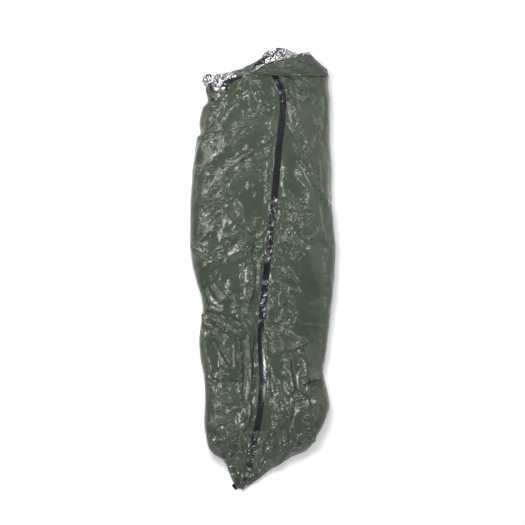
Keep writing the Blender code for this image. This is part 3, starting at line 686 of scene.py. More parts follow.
def shell(name, surface, top, thickness, material, crumple):
    """A closed thin sheet whose outer face stands that far over a surface."""
    points, normals, uv = surface
    levels = [(points + normals * height[..., None]).reshape(-1, 3) for height in (top, top - thickness)]
    faces = shell_faces(*top.shape)
    obj = add_mesh(name, np.concatenate(levels).tolist(), faces.tolist())
    mesh = obj.data
    flat = np.concatenate([uv.reshape(-1, 2)] * 2)
    mesh.uv_layers.new(name="flat").data.foreach_set("uv", flat[faces.ravel()].astype(np.float32).ravel())
    attribute = mesh.attributes.new("crumple", "FLOAT", "POINT")
    strength = np.broadcast_to(crumple, top.shape).ravel()
    attribute.data.foreach_set("value", np.concatenate([strength] * 2).astype(np.float32))
    mesh.materials.append(material)
    mesh.shade_smooth()
    mesh.set_sharp_from_angle(angle=math.radians(CREASE_ANGLE))
    return obj


def under(height, reach):
    """Height of a lining under a film, low enough to stay under the film's crumple some steps away."""
    padded = np.pad(height, reach, mode="edge")
    rows, columns = height.shape
    found = height.copy()
    for i in range(2 * reach + 1):
        for j in range(2 * reach + 1):
            found = np.minimum(found, padded[i:i + rows, j:j + columns])
    return found - FILM - SHEET_GAP


def lined(film_name, lining_name, surface, height, reach, crumple):
    """A film and the lining under it."""
    film = shell(film_name, surface, height, FILM, OLIVE_FILM, crumple)
    inner = part_of(surface, EVERY_OTHER)
    below = under(height, reach)[EVERY_OTHER]
    return [film, shell(lining_name, inner, below, LINING, ALUMINISED_FILM, crumple[EVERY_OTHER])]


# Materials

# Where between dark and pale the two colours of a sheet stand
MOTTLE_STOPS = (0.3, 0.7)
# How coarse the warp of a crease texture is and how far it goes, in cells
TEXTURE_WARP_RATE = 0.45
TEXTURE_WARP = 0.9


def node(tree, kind, inputs=None, **settings):
    """A new node. Each input gets a value or the output that feeds it."""
    made = tree.nodes.new("ShaderNode" + kind)
    for name, value in settings.items():
        setattr(made, name, value)
    for name, value in (inputs or {}).items():
        if isinstance(value, bpy.types.NodeSocket):
            tree.links.new(value, made.inputs[name])
        else:
            made.inputs[name].default_value = value
    return made


def colour_ramp(tree, value, *stops):
    """Colours between two stops of (position, colour)."""
    ramp = node(tree, "ValToRGB", {"Fac": value})
    for element, (position, colour) in zip(ramp.color_ramp.elements, stops):
        element.position = position
        element.color = (*colour, 1.0)
    return ramp.outputs["Color"]


def flat_coordinates(tree, scale, stretch, degrees):
    """The sheet's flat coordinates, in cells of a texture, warped a little."""
    flat = node(tree, "TexCoord").outputs["UV"]
    coarse = scale * TEXTURE_WARP_RATE
    warp = node(tree, "TexNoise", {"Vector": flat, "Scale": coarse, "Detail": 1.0})
    centre = node(tree, "VectorMath", {0: warp.outputs["Color"], 1: (0.5, 0.5, 0.5)}, operation="SUBTRACT")
    bend = {0: centre.outputs[0], 1: (TEXTURE_WARP / scale,) * 3, 2: flat}
    bent = node(tree, "VectorMath", bend, operation="MULTIPLY_ADD")
    return node(tree, "Mapping", {
        "Vector": bent.outputs[0],
        "Rotation": (0.0, 0.0, math.radians(degrees)),
        "Scale": (scale / stretch, scale, scale),
    }).outputs["Vector"]


def crease_bump(tree, mask, cell, width, height, stretch, degrees):
    """Fine creases: flat-sided cells as a bump of real height."""
    vector = flat_coordinates(tree, 1 / cell, stretch, degrees)
    texture = node(
        tree, "TexVoronoi", {"Vector": vector, "Scale": 1.0},
        voronoi_dimensions="2D", feature="DISTANCE_TO_EDGE",
    )
    span = {"From Min": 0.0, "From Max": width, "To Min": 1.0, "To Max": 0.0}
    ridge = node(
        tree, "MapRange", {"Value": texture.outputs["Distance"], **span}, interpolation_type="SMOOTHSTEP"
    )
    masked = node(tree, "Math", {0: ridge.outputs[0], 1: mask}, operation="MULTIPLY")
    return node(tree, "Bump", {"Height": masked.outputs[0], "Distance": height, "Strength": 1.0})


def sheet_material(name, first, second, cell, gloss, creases, least_creased=0.0):
    """A sheet mottled between two colours and creased where it is crumpled.

    Each layer of creases has a cell in metres, a width in cells, a height, a stretch and a lean."""
    material = bpy.data.materials.new(name)
    material.use_nodes = True
    tree = material.node_tree
    shader = tree.nodes["Principled BSDF"]
    for socket, value in gloss.items():
        shader.inputs[socket].default_value = value
    flat = node(tree, "TexCoord").outputs["UV"]
    noise = node(tree, "TexNoise", {"Vector": flat, "Scale": 1 / cell, "Detail": 4.0})
    colour = colour_ramp(tree, noise.outputs["Fac"], *zip(MOTTLE_STOPS, (first, second)))
    tree.links.new(colour, shader.inputs["Base Color"])
    crumple = node(tree, "Attribute", attribute_name="crumple")
    mask = node(tree, "Math", {0: crumple.outputs["Fac"], 1: least_creased}, operation="MAXIMUM")
    target = shader.inputs["Normal"]
    for layer in reversed(creases):
        bump = crease_bump(tree, mask.outputs[0], *layer)
        tree.links.new(bump.outputs["Normal"], target)
        target = bump.inputs["Normal"]
    return material


OLIVE_FILM = sheet_material(
    "olive_film", (0.058, 0.077, 0.051), (0.073, 0.093, 0.065), 0.12, {"Roughness": 0.13, "IOR": 1.55},
    [(0.021, 0.20, 0.0010, 1.8, 30), (0.011, 0.26, 0.0008, 1.5, -50)],
)
ALUMINISED_FILM = sheet_material(
    "aluminised_film", (0.50, 0.51, 0.53), (0.62, 0.63, 0.65), 0.08, {"Metallic": 1.0, "Roughness": 0.12},
    [(0.020, 0.3, 0.0010, 1.4, 20), (0.010, 0.35, 0.0005, 1.2, -40)], 0.45,
)
BLACK_TAPE = sheet_material(
    "black_tape", (0.012, 0.012, 0.016), (0.024, 0.023, 0.029), 0.05, {"Roughness": 0.15, "IOR": 1.85},
    [(0.017, 0.3, 0.0008, 1.3, 10), (0.009, 0.35, 0.0004, 1.2, 70)],
)


# Film over the wearer

def front_turns():
    """Rows of the front, their turns left of the lap, over it and right of it, and the lap's first column."""
    d = np.linspace(SHELL_START, NECK, round((NECK - SHELL_START) / PITCH) + 1)
    offsets = np.linspace(-TAPE_WIDTH / 2 - LIP_WIDTH, TAPE_WIDTH / 2, LAP_STEPS + 1)
    lap = np.stack([turn_at(d, lap_x(d, offset)) for offset in offsets], axis=1)
    left = even_turns(d, np.zeros_like(d), lap[:, 0], SIDE_STEPS)
    right = even_turns(d, lap[:, -1], np.full_like(d, math.pi), SIDE_STEPS)
    return d, np.concatenate([left, lap[:, 1:], right[:, 1:]], axis=1), left.shape[1] - 1


def strip_share(s, strip):
    """How far a place lies inside a strip along the closure, from 0 to 1."""
    place, half_width, fade = strip
    return 1 - ease((np.abs(s - place) - half_width) / fade)


def front_surface():
    """The front's smooth surface, its relief, how crumpled it is, and the lap's first column."""
    rows, turns, lap_first = front_turns()
    x, z = section(rows[:, None], turns)
    d = np.broadcast_to(rows[:, None], x.shape)
    y = d - MIDDLE
    points = np.stack([x, y, z], axis=2)
    normals = grid_normals(points)
    steps = np.hypot(np.diff(x, axis=1), np.diff(z, axis=1))
    s = np.concatenate([np.zeros((len(rows), 1)), np.cumsum(steps, axis=1)], axis=1)
    middle = lap_first + TAPE_MIDDLE_STEP
    s -= s[:, middle:middle + 1]
    folds, fine, crumple = relief(x, y, s, d)
    height = folds + fine * (1 - LAP_CALM * strip_share(s, LAP_STRIP))
    height *= 1 - TAPE_STIFFNESS * strip_share(s, TAPE_STRIP)
    height *= STEEP_SHARE + (1 - STEEP_SHARE) * np.clip(normals[..., 2] * LEVEL_GAIN, 0.0, 1.0)
    columns = np.arange(x.shape[1])
    height *= ease(np.minimum(columns, columns[::-1]) / SEAM_FADE_STEPS) * ease((d - SHELL_START) / TIP_FADE)
    return (points, normals, np.stack([s, d], axis=2)), height, crumple, lap_first


def build_front():
    surface, height, crumple, lap_first = front_surface()
    lap_last = lap_first + LAP_STEPS
    count = height.shape[1]
    past_lap = np.clip((np.arange(lap_first, count) - lap_last) / LAP_RISE_STEPS, 0.0, 1.0)
    made = []
    for side, columns, rise in (
        ("left", slice(0, lap_last + 1), 0.0),
        ("right", slice(lap_first, count), LAP_RISE * (1 - ease(past_lap))),
    ):
        place = (slice(None), columns)
        names = (side + "_film", side + "_lining_film")
        made += lined(*names, part_of(surface, place), height[place] + rise, FRONT_REACH, crumple[place])
    band = (slice(None), slice(lap_last - TAPE_STEPS, lap_last + 1))
    strip = part_of(surface, band)
    crinkled = tape_crinkle(strip[0][..., 1])
    crinkle = layered(strip[2], TAPE_LAYERS, planes)
    crinkle = TAPE_CRINKLE_HEIGHT * (crinkle - crinkle.min()) * np.clip(crinkled - SMOOTH_TAPE, 0.0, 1.0)
    for name, rise in (("closure_tape", LAP_RISE + crinkle), ("landing_tape", 0.0)):
        made.append(shell(name, strip, height[band] + rise + SHEET_GAP + TAPE, TAPE, BLACK_TAPE, crinkled))
    return made


# Back film

# Its grid, and how creased it is
BACK_ROWS = 229
BACK_COLUMNS = 101
BACK_CRUMPLE = 0.35
# Width of the grid that the back's crumple is worked out on
BACK_SPREAD = 0.9
# Share of the grid over which the back's crumple grows from each seam
BACK_FADE = 0.05
# Share of the grid that each rounded lower side takes, and the most of the bag's width that it takes
SIDE_SHARE = 0.30
CORNER_SHARE = 0.45
# The back leaves room for the tape's tail under the foot: how high, how far from the tip, and its fade
TAIL_ROOM = 0.0011
TAIL_ROOM_END = 0.074
TAIL_ROOM_FADE = 0.076
# The back's lowest height over the ground
LOWEST = 0.0006


def trough(left, right, wall, floor, share):
    """X and z across the back film, for shares from the right seam (0) to the left one (1)."""
    corner = np.minimum(FLOOR_CORNER, (right - left) * CORNER_SHARE)
    sides = [share < SIDE_SHARE, share > 1 - SIDE_SHARE]
    turns = [np.clip(part / SIDE_SHARE, 0.0, 1.0) * math.pi / 2 for part in (share, 1 - share)]
    flat = np.clip((share - SIDE_SHARE) / (1 - 2 * SIDE_SHARE), 0.0, 1.0)
    on_sides = [right - corner * (1 - np.cos(turns[0])), left + corner * (1 - np.cos(turns[1]))]
    x = np.select(sides, on_sides, right - corner + (left - right + 2 * corner) * flat)
    z = floor + (wall - floor) * np.select(sides, [1 - np.sin(turn) for turn in turns], 0.0)
    return x, z


def build_back():
    rows = np.linspace(SHELL_START, NECK, BACK_ROWS)[:, None]
    share = np.linspace(0.0, 1.0, BACK_COLUMNS)[None, :]
    left, right = edges(rows)
    floor = TAIL_ROOM * (1 - ease((rows - TAIL_ROOM_END) / TAIL_ROOM_FADE))
    x, z = trough(left, right, seam_height(rows) - SEAM_GAP / 2, floor, share)
    d = np.broadcast_to(rows, x.shape)
    points = np.stack([x, d - MIDDLE, z], axis=2)
    normals = grid_normals(points)
    uv = np.stack([np.broadcast_to(share * BACK_SPREAD, x.shape), d], axis=2)
    height = layered(uv, BACK_LAYERS, facets) * ease(np.minimum(share, 1 - share) / BACK_FADE)
    height = np.where(z + normals[..., 2] * height < LOWEST, 0.0, height)
    crumple = np.full(x.shape, BACK_CRUMPLE)
    return lined("back_film", "back_lining_film", (points, normals, uv), height, BACK_REACH, crumple)


# Collar over the mouth

# Its rim, from left to right: (px, distance past the neck, height over the bag's top at the neck)
COLLAR_RIM = [
    (249.5, 0.010, -0.001), (256, 0.020, 0.003), (262, 0.036, 0.010), (268, 0.046, 0.015),
    (275, 0.056, 0.020), (283, 0.066, 0.023), (290, 0.078, 0.024), (300, 0.087, 0.020),
    (308, 0.092, 0.004), (314, 0.076, -0.026), (321, 0.050, -0.058), (327, 0.030, -0.096),
]
COLLAR_START_PX = 249.5
COLLAR_END_HEIGHT = 0.014
COLLAR_COLUMNS = 120
COLLAR_ROWS = 44
# Shares of its length over which the collar opens from its left and right ends
COLLAR_OPENS = (0.10, 0.22)
# The film is tucked back by the neck and stands up there in a lip: share of the way to the rim, and how far
COLLAR_TUCK_END = 0.42
COLLAR_TUCK = 0.17
COLLAR_LIP_END = 0.30
COLLAR_LIP = 0.007
# How far it swells between neck and rim at its ends, and how much more where it is open. By the power below
# 1 it swells most on the neck's side.
COLLAR_SWELL = (0.006, 0.017)
COLLAR_SWELL_POWER = 0.62
# How far past the neck the collar bends before it follows its hinge
COLLAR_BEND = 0.075
# Its folds and crumple grow over these shares from the neck and from its left end, where this share is left
COLLAR_NECK_FADE = 0.08
COLLAR_LEFT_FADE = 0.1
COLLAR_LEFT_SHARE = 0.4
# How creased it is, how much more near its rim, and that band's place and half width
COLLAR_CRUMPLE = (0.35, 0.5)
COLLAR_CREASED_BAND = (0.9, 0.2)
COLLAR_FOLDS = [
    ([(262, 75), (276, 69), (291, 66), (306, 69)], 3, 4, 7, 0.5, 0.7),
    ([(285, 62), (298, 67), (312, 76)], 4, 4, 5, 0.5, 0.6),
    ([(277, 66), (290, 72), (306, 75)], 3, 3, -5, 0.8, 0.6),
    ([(303, 59), (314, 66), (322, 76)], 3, 3, -5, 0.6, 0.8),
    ([(308, 58), (319, 65), (327, 76)], 2, 3, 5, 0.6, 0.8),
    ([(268, 73), (275, 71), (284, 73)], 3, 3, 4, 0.6, 0.6),
]
# Silver edge turned over the rim: its width at even steps from left to right, its rows, where it points to,
# how high it curls as a share of its width, how far round in half turns, and the width from which it is
# crumpled in full
SILVER_WIDTHS = [0.004, 0.010, 0.014, 0.013, 0.013, 0.010, 0.0015, 0.0012]
SILVER_ROWS = 10
SILVER_OUTWARD = (-0.10, 0.95, 0.0)
SILVER_CURL = 0.55
SILVER_TURN = 0.8
SILVER_FULL_WIDTH = 0.010
# Shares of its crumple on the lining's last rows before the rim
SILVER_START = [0.15, 0.4, 0.7]
# The collar's tape: its span along the neck, its place between neck and rim at each end, its width there,
# how far it stands off, how creased it is, and its grid
COLLAR_TAPE_SPAN = (0.57, 0.87)
COLLAR_TAPE_PLACE = (0.68, 0.22)
COLLAR_TAPE_WIDTH = 0.25
COLLAR_TAPE_LIFT = 0.0016
COLLAR_TAPE_CRUMPLE = 0.4
COLLAR_TAPE_COLUMNS = 90
COLLAR_TAPE_ROWS = 24
# How far, in lines of a grid, a place stays from the grid's last line
JUST_INSIDE = 0.001


def bump(share):
    """Half a wave from 0 over 1 to 0."""
    return np.sin(math.pi * np.clip(share, 0.0, 1.0))


def collar_points(u, v):
    """Points of the collar for shares along the neck (u) and from the neck to the rim (v)."""
    crown = smooth(CROWN_LINE, NECK) + LAP_RISE
    first = turn_at(np.array([NECK]), across(COLLAR_START_PX))[0]
    last = math.pi - math.asin((COLLAR_END_HEIGHT / (crown - SEAM_HEIGHT)) ** (1 / RIGHT_FULLNESS))
    x, z = section(np.array(NECK), first + (last - first) * u)
    rim_px, past, rise = (smooth_evenly(values, u) for values in np.transpose(COLLAR_RIM))
    is_open = ease(u / COLLAR_OPENS[0]) * ease((1 - u) / COLLAR_OPENS[1])
    t = v - COLLAR_TUCK * bump(v / COLLAR_TUCK_END) * is_open
    swelling = np.sin(math.pi * np.clip(v, 0.0, 1.0) ** COLLAR_SWELL_POWER)
    over = (COLLAR_SWELL[0] + COLLAR_SWELL[1] * is_open) * swelling
    over += COLLAR_LIP * is_open * bump(v / COLLAR_LIP_END) ** 2
    neck_z = z + LAP_RISE
    return np.stack([
        x + (across(rim_px) - x) * t,
        NECK_Y + CUT_GAP + past * t,
        neck_z + (crown + rise - neck_z) * t + over,
    ], axis=-1)


def collar_lining(points, normals, height, u):
    """The lining, which runs on past the film's rim and turns up over it as a silver edge."""
    rim = points + normals * under(height, FRONT_REACH)[..., None]
    width = smooth_evenly(SILVER_WIDTHS, u)
    past = np.linspace(0.0, 1.0, SILVER_ROWS)[1:, None]
    edge = rim[-1:] + (past * width)[..., None] * np.array(SILVER_OUTWARD)
    edge[..., 2] += np.sin(past * math.pi * SILVER_TURN) * SILVER_CURL * width
    surface = surface_of(np.concatenate([rim, edge]))
    inside = np.zeros(len(rim) - len(SILVER_START))
    wild = np.concatenate([inside, SILVER_START, np.ones(SILVER_ROWS - 1)])[:, None]
    wild_height = layered(surface[2], SILVER_LAYERS, planes) * wild * ease(width / SILVER_FULL_WIDTH)
    return shell("collar_lining_film", surface, wild_height, LINING, ALUMINISED_FILM, 0.5 + 0.5 * wild)


def collar_tape(height):
    """Tape along the right half of the rim, over the film's own relief."""
    start, end = COLLAR_TAPE_SPAN
    first, last = COLLAR_TAPE_PLACE
    u, aside = np.meshgrid(
        np.linspace(start, end, COLLAR_TAPE_COLUMNS), np.linspace(-0.5, 0.5, COLLAR_TAPE_ROWS)
    )
    v = first + (last - first) * (u - start) / (end - start) + COLLAR_TAPE_WIDTH * aside
    lift = height_at(height, u, v) + SHEET_GAP + COLLAR_TAPE_LIFT
    surface = surface_of(collar_points(u, v))
    return shell("collar_tape_strip", surface, lift + TAPE, TAPE, BLACK_TAPE, COLLAR_TAPE_CRUMPLE)


def height_at(height, u, v):
    """Height between the places of a grid, for shares along its rows (u) and columns (v)."""
    rows, columns = height.shape
    i = np.clip(v * (rows - 1), 0, rows - 1 - JUST_INSIDE)
    j = np.clip(u * (columns - 1), 0, columns - 1 - JUST_INSIDE)
    i0, j0 = i.astype(int), j.astype(int)
    fi, fj = i - i0, j - j0
    return (
        height[i0, j0] * (1 - fi) * (1 - fj) + height[i0, j0 + 1] * (1 - fi) * fj
        + height[i0 + 1, j0] * fi * (1 - fj) + height[i0 + 1, j0 + 1] * fi * fj
    )


def build_collar():
    u, v = np.meshgrid(np.linspace(0.0, 1.0, COLLAR_COLUMNS), np.linspace(0.0, 1.0, COLLAR_ROWS))
    surface = surface_of(collar_points(u, v))
    points, normals, uv = surface
    height = folded(*pixels(points[..., 0], points[..., 1]), COLLAR_FOLDS)
    height += layered(uv, COLLAR_LAYERS, facets)
    at_left = COLLAR_LEFT_SHARE + (1 - COLLAR_LEFT_SHARE) * ease(u / COLLAR_LEFT_FADE)
    height *= ease(v / COLLAR_NECK_FADE) * at_left
    middle, half_width = COLLAR_CREASED_BAND
    crumple = COLLAR_CRUMPLE[0] + COLLAR_CRUMPLE[1] * ease(1 - np.abs(v - middle) / half_width)
    return [
        shell("collar_film", surface, height, FILM, OLIVE_FILM, crumple),
        collar_lining(points, normals, height, u[:1]),
        collar_tape(height),
    ]


# Corner turned out over the left shoulder

# Its strips: upper edge, lower edge, (share from one to the other, height over the bag in mm)
CORNER_STRIPS = {
    "corner_silver": (
        [(236, 75.6), (233, 74.2), (227, 73.6), (219, 74.2), (212, 76.0), (206, 76.4), (203.6, 79.5)],
        [(235, 77.0), (232, 79.0), (227, 82.5), (222, 85.0), (215, 87.6), (209, 86.4), (204.0, 82.5)],
        [(0.0, 5), (0.12, 17), (0.35, 25), (0.6, 24), (0.85, 16), (1.0, 9)],
    ),
    "corner_band": (
        [(245, 75.6), (239, 76), (231, 79), (223, 82), (215, 84), (209, 84), (206, 83)],
        [(245, 77.0), (240, 79), (234.5, 82), (227, 91), (215, 92), (209, 90), (206.5, 87.5)],
        [(0.0, 6), (0.3, 8), (0.8, 7), (1.0, 4)],
    ),
    "corner_lip": (
        [(240, 78), (235, 80), (229, 86), (221, 88), (214, 89), (209, 88), (207, 86)],
        [(240, 81), (235, 85), (228, 95), (222, 98), (215, 98.5), (211, 97.5), (208.2, 95.5)],
        [(0.0, 3), (0.3, 4), (0.7, 6), (1.0, 3)],
    ),
    "corner_under": (
        [(231, 90), (228, 92), (224, 93), (218, 94), (213, 94), (210, 94), (208.2, 93)],
        [(231, 93), (228, 96), (222, 100), (217, 101), (213, 101.5), (211, 102), (209.4, 101)],
        [(0.0, 1.5), (0.5, 2.5), (1.0, 1.5)],
    ),
}
# Their material, seed, cell and height of the crumple as a share of the cell, and how creased they are
CORNER_FINISH = {
    "corner_silver": (ALUMINISED_FILM, 51, 0.016, 1.50, 0.9),
    "corner_band": (BLACK_TAPE, 52, 0.020, 0.20, 0.1),
    "corner_lip": (OLIVE_FILM, 53, 0.014, 1.0, 0.9),
    "corner_under": (BLACK_TAPE, 54, 0.016, 0.15, 0.1),
}
# Their layers: height and cell as shares of their own, seed after their own, lean, stretch
CORNER_LAYERS = [(1.0, 1.0, 0, 30, 1.3), (0.6, 0.55, 5, -40, 1.2)]
STRIP_ROWS = 30
STRIP_COLUMNS = 70
# The corner stays off the bag's side by this much of a turn, and this step of a turn finds its normal
LEAST_TURN = 0.16
NORMAL_STEP = 0.02
# Part of half a wave that the strips' height follows from left to right: its start and its length
STRIP_WAVE_START = 0.10
STRIP_WAVE = 0.86


def strip_points(upper, lower, profile):
    """A strip between two lines of pixels, at heights over the bag."""
    share = np.linspace(0.0, 1.0, STRIP_COLUMNS)
    v = np.linspace(0.0, 1.0, STRIP_ROWS)[:, None]
    px, py = (
        smooth_evenly(above, share) * (1 - v) + smooth_evenly(below, share) * v
        for above, below in zip(np.transpose(upper), np.transpose(lower))
    )
    d = along_bag(py)
    on_bag = np.minimum(d, NECK)
    turn = np.maximum(turn_at(on_bag, across(px)), LEAST_TURN)
    x, z = section(on_bag, turn)
    after_x, after_z = section(on_bag, turn + NORMAL_STEP)
    normal_x, normal_z = z - after_z, after_x - x
    ends = bump(share * STRIP_WAVE + STRIP_WAVE_START) ** 0.5
    height = smooth(profile, v) / MILLIMETRES * ends / np.hypot(normal_x, normal_z)
    return np.stack([x + normal_x * height, d - MIDDLE, z + normal_z * height], axis=2)[::-1, ::-1]


def build_corner():
    made = []
    for name, (material, seed, cell, slope, crumple) in CORNER_FINISH.items():
        surface = surface_of(strip_points(*CORNER_STRIPS[name]))
        layers = [
            (share * slope, size * cell, seed + after, *rest) for share, size, after, *rest in CORNER_LAYERS
        ]
        height = layered(surface[2], layers, planes)
        made.append(shell(name, surface, height - height.mean(), FILM, material, crumple))
    return made


# Back of the hood, behind the neck: (x, distance past the neck) of the ends of its rim
HOOD_LEFT_END = (-0.050, 0.006)
HOOD_RIGHT_END = (0.206, 0.074)
HOOD_RIM_DROP = 0.105
HOOD_WALL_CLEARANCE = 0.006
# Share of the way to the rim after which it keeps that clearance
HOOD_CLEARANCE_SHARE = 0.25
# How deep its crumple gets at most, and the shares over which it grows from the neck and from the sides
HOOD_DEEPEST = 0.012
HOOD_NECK_FADE = 0.15
HOOD_SIDE_FADE = 0.06
# How creased film and lining are
HOOD_CRUMPLE = 0.5
HOOD_LINING_CRUMPLE = 0.7
# Power of the curve of its rim
HOOD_RIM_POWER = 0.7
HOOD_ROWS = 36
HOOD_COLUMNS = 110


def hood_points(share, aside):
    """Points of the hood's back for shares from the neck to the rim and from right to left."""
    neck = np.array(NECK)
    neck_left, neck_right = edges(neck)
    left = neck_left + (HOOD_LEFT_END[0] - neck_left) * ease(share)
    right = neck_right + (HOOD_RIGHT_END[0] - neck_right) * ease(share)
    crown = smooth(CROWN_LINE, NECK)
    seam = SEAM_HEIGHT - SEAM_GAP / 2
    over = section(neck, turn_at(neck, left))[1] - HOOD_WALL_CLEARANCE * ease(share / HOOD_CLEARANCE_SHARE)
    wall_left = np.maximum(np.minimum(over, crown - HOOD_WALL_CLEARANCE), seam)
    wall_left = np.where(share == 0, seam, wall_left)
    wall_right = seam + (crown - HOOD_RIM_DROP - seam) * share
    x, z = trough(left, right, np.where(aside < 0.5, wall_right, wall_left), 0.0, aside)
    part = (x - left) / (right - left)
    ends = HOOD_LEFT_END[1] * (1 - part) + HOOD_RIGHT_END[1] * part
    past = ends + (HOOD_DEPTH - ends) * np.clip(np.sin(math.pi * part), 0.0, None) ** HOOD_RIM_POWER
    return np.stack([x, NECK_Y + CUT_GAP + (past - CUT_GAP) * share, z], axis=2)


def build_hood():
    share, aside = np.meshgrid(
        np.linspace(0.0, 1.0, HOOD_ROWS), np.linspace(0.0, 1.0, HOOD_COLUMNS), indexing="ij"
    )
    surface = surface_of(hood_points(share, aside))
    height = -np.abs(layered(surface[2], HOOD_LAYERS, planes))
    height *= ease(share / HOOD_NECK_FADE) * ease(np.minimum(aside, 1 - aside) / HOOD_SIDE_FADE)
    height = np.maximum(height, -HOOD_DEEPEST)
    below = under(height, BACK_REACH)
    return [
        shell("hood_film", surface, height, FILM, OLIVE_FILM, HOOD_CRUMPLE),
        shell("hood_lining", surface, below, LINING, ALUMINISED_FILM, HOOD_LINING_CRUMPLE),
    ]


# Tail of the tape, folded aside under the foot tip: its two ends in pixels, its height over the ground, and
# from where along it and how far its free end curls up
TAIL_ENDS = [(247, 479), (233.3, 489.6)]
TAIL_LIFT = 0.0002
TAIL_CURL_START = 0.72
TAIL_CURL = 0.004
# One edge curls more than the other. From this curl on the tape is crinkled in full.
TAIL_CURL_LEAN = 1.3
TAIL_FULL_CURL = 0.002
TAIL_CRUMPLE = 0.3
TAIL_ROWS = 60
TAIL_COLUMNS = 24


def build_tail():
    along, aside = np.meshgrid(
        np.linspace(0.0, 1.0, TAIL_ROWS), np.linspace(0.5, -0.5, TAIL_COLUMNS), indexing="ij"
    )
    (ax, ay), (bx, by) = TAIL_ENDS
    width = TAPE_WIDTH / PIXEL / math.dist(*TAIL_ENDS)
    px = ax + (bx - ax) * along + (by - ay) * width * aside
    py = ay + (by - ay) * along - (bx - ax) * width * aside
    curled = np.clip((along - TAIL_CURL_START) / (1 - TAIL_CURL_START), 0.0, 1.0)
    curl = TAIL_CURL * curled ** 2 * (TAIL_CURL_LEAN - aside)
    points = np.stack([across(px), along_bag(py) - MIDDLE, TAIL_LIFT + curl], axis=2)
    points, normals, uv = surface_of(points)
    normals = normals * np.sign(normals[..., 2:])
    crinkle = np.abs(layered(uv, TAIL_LAYERS, planes)) * np.clip(curl / TAIL_FULL_CURL, 0.0, 1.0)
    return [shell("tape_tail", (points, normals, uv), crinkle + TAPE, TAPE, BLACK_TAPE, TAIL_CRUMPLE)]


# Stage
CAMERA_HEIGHT = 27.0
# Height at which the picture has the photograph's scale
SCALE_HEIGHT = 0.2
SENSOR_WIDTH = 36.0
VIEW_END = 200.0
# The lights' common aim
AIM = (0.0, 0.0, 0.1)
WARM = (1.0, 0.97, 0.95)
COOL = (0.95, 1.0, 0.97)
WHITE = (1.0, 1.0, 1.0)
# Softboxes: name, place, side in metres, brightness, colour, and whether they light the gloss or the colours
LIGHTS = [
    ("top", (-0.5, 1.1, 5.0), 1.5, 32.0, WHITE, "colours"),
    ("key", (-3.0, 1.9, 4.3), 3.4, 3.7, WARM, "gloss"),
    ("key_core", (-2.6, 2.5, 4.4), 1.1, 18.0, WARM, "gloss"),
    ("west_high", (-2.5, -0.9, 4.4), 2.2, 2.5, WARM, "gloss"),
    ("west_core", (-2.3, -0.6, 4.4), 0.9, 12.0, WARM, "gloss"),
    ("east", (3.8, 0.2, 3.6), 3.0, 0.6, COOL, "gloss"),
    ("east_core", (2.6, 0.3, 4.3), 0.8, 9.0, COOL, "gloss"),
    ("east_low", (5.8, 0.3, 0.8), 2.0, 1.1, COOL, "gloss"),
    ("south", (0.8, -5.0, 3.6), 2.4, 0.9, COOL, "gloss"),
    ("south_west", (-1.8, -5.4, 0.9), 0.80, 20.0, COOL, "gloss"),
    ("south_east", (2.0, -5.4, 0.9), 0.70, 16.0, COOL, "gloss"),
    ("south_core", (0.5, -5.6, 1.2), 0.22, 36.0, WARM, "gloss"),
    ("north_core", (1.5, 2.4, 4.4), 0.7, 8.0, WARM, "gloss"),
    ("north_east", (2.6, 4.4, 4.0), 2.0, 4.2, WARM, "gloss"),
    ("west", (-5.0, -1.2, 3.2), 1.8, 2.4, COOL, "gloss"),
]
FLOOR_HALF = 150.0
FLOOR_Z = -0.0005
FLOOR_COLOUR = (0.80, 0.80, 0.80, 1.0)
# What the floor adds for the camera, so that it is white but for the shadow
FLOOR_GLOW = 0.44
ROOM_LIGHT = 0.24
# What the gloss mirrors of the room: bright near the horizon and grey overhead, at these heights
HORIZON = (0.12, WHITE)
OVERHEAD = (0.70, (0.10, 0.10, 0.10))
# It is darker to the west and beyond the foot: axis, where it is darkest and where it is full
DARK_SIDES = [("X", -0.8, 0.4), ("Y", -0.9, -0.2)]
DARKEST = 0.2


def add_camera():
    data = bpy.data.cameras.new("camera")
    obj = bpy.data.objects.new("camera", data)
    bpy.context.scene.collection.objects.link(obj)
    half = FRAME_PX / 2
    obj.location = (across(half), along_bag(half) - MIDDLE, CAMERA_HEIGHT)
    data.sensor_width = SENSOR_WIDTH
    data.lens = SENSOR_WIDTH * (CAMERA_HEIGHT - SCALE_HEIGHT) / (FRAME_PX * PIXEL)
    data.clip_end = VIEW_END
    bpy.context.scene.camera = obj


def add_light(name, place, side, brightness, colour, lights):
    """A square softbox aimed at the bag, whose face is that bright."""
    data = bpy.data.lights.new(name, "AREA")
    data.shape = "SQUARE"
    data.size = side
    data.energy = math.pi * side ** 2 * brightness
    data.color = colour
    obj = bpy.data.objects.new(name, data)
    bpy.context.scene.collection.objects.link(obj)
    obj.location = place
    obj.rotation_mode = "QUATERNION"
    obj.rotation_quaternion = (Vector(AIM) - Vector(place)).to_track_quat("-Z", "Y")
    obj.visible_diffuse = lights == "colours"
    obj.visible_glossy = lights == "gloss"


def add_floor():
    corners = [(-1, -1), (1, -1), (1, 1), (-1, 1)]
    points = [(x * FLOOR_HALF, y * FLOOR_HALF, FLOOR_Z) for x, y in corners]
    floor = add_mesh("floor", points, [(0, 1, 2, 3)])
    material = bpy.data.materials.new("pale_floor")
    material.use_nodes = True
    tree = material.node_tree
    tree.nodes.clear()
    seen = node(tree, "LightPath").outputs["Is Camera Ray"]
    strength = node(tree, "Math", {0: seen, 1: FLOOR_GLOW}, operation="MULTIPLY")
    diffuse = node(tree, "BsdfDiffuse", {"Color": FLOOR_COLOUR})
    glow = node(tree, "Emission", {"Strength": strength.outputs[0]})
    both = node(tree, "AddShader", {0: diffuse.outputs[0], 1: glow.outputs[0]})
    node(tree, "OutputMaterial", {"Surface": both.outputs[0]})
    floor.data.materials.append(material)


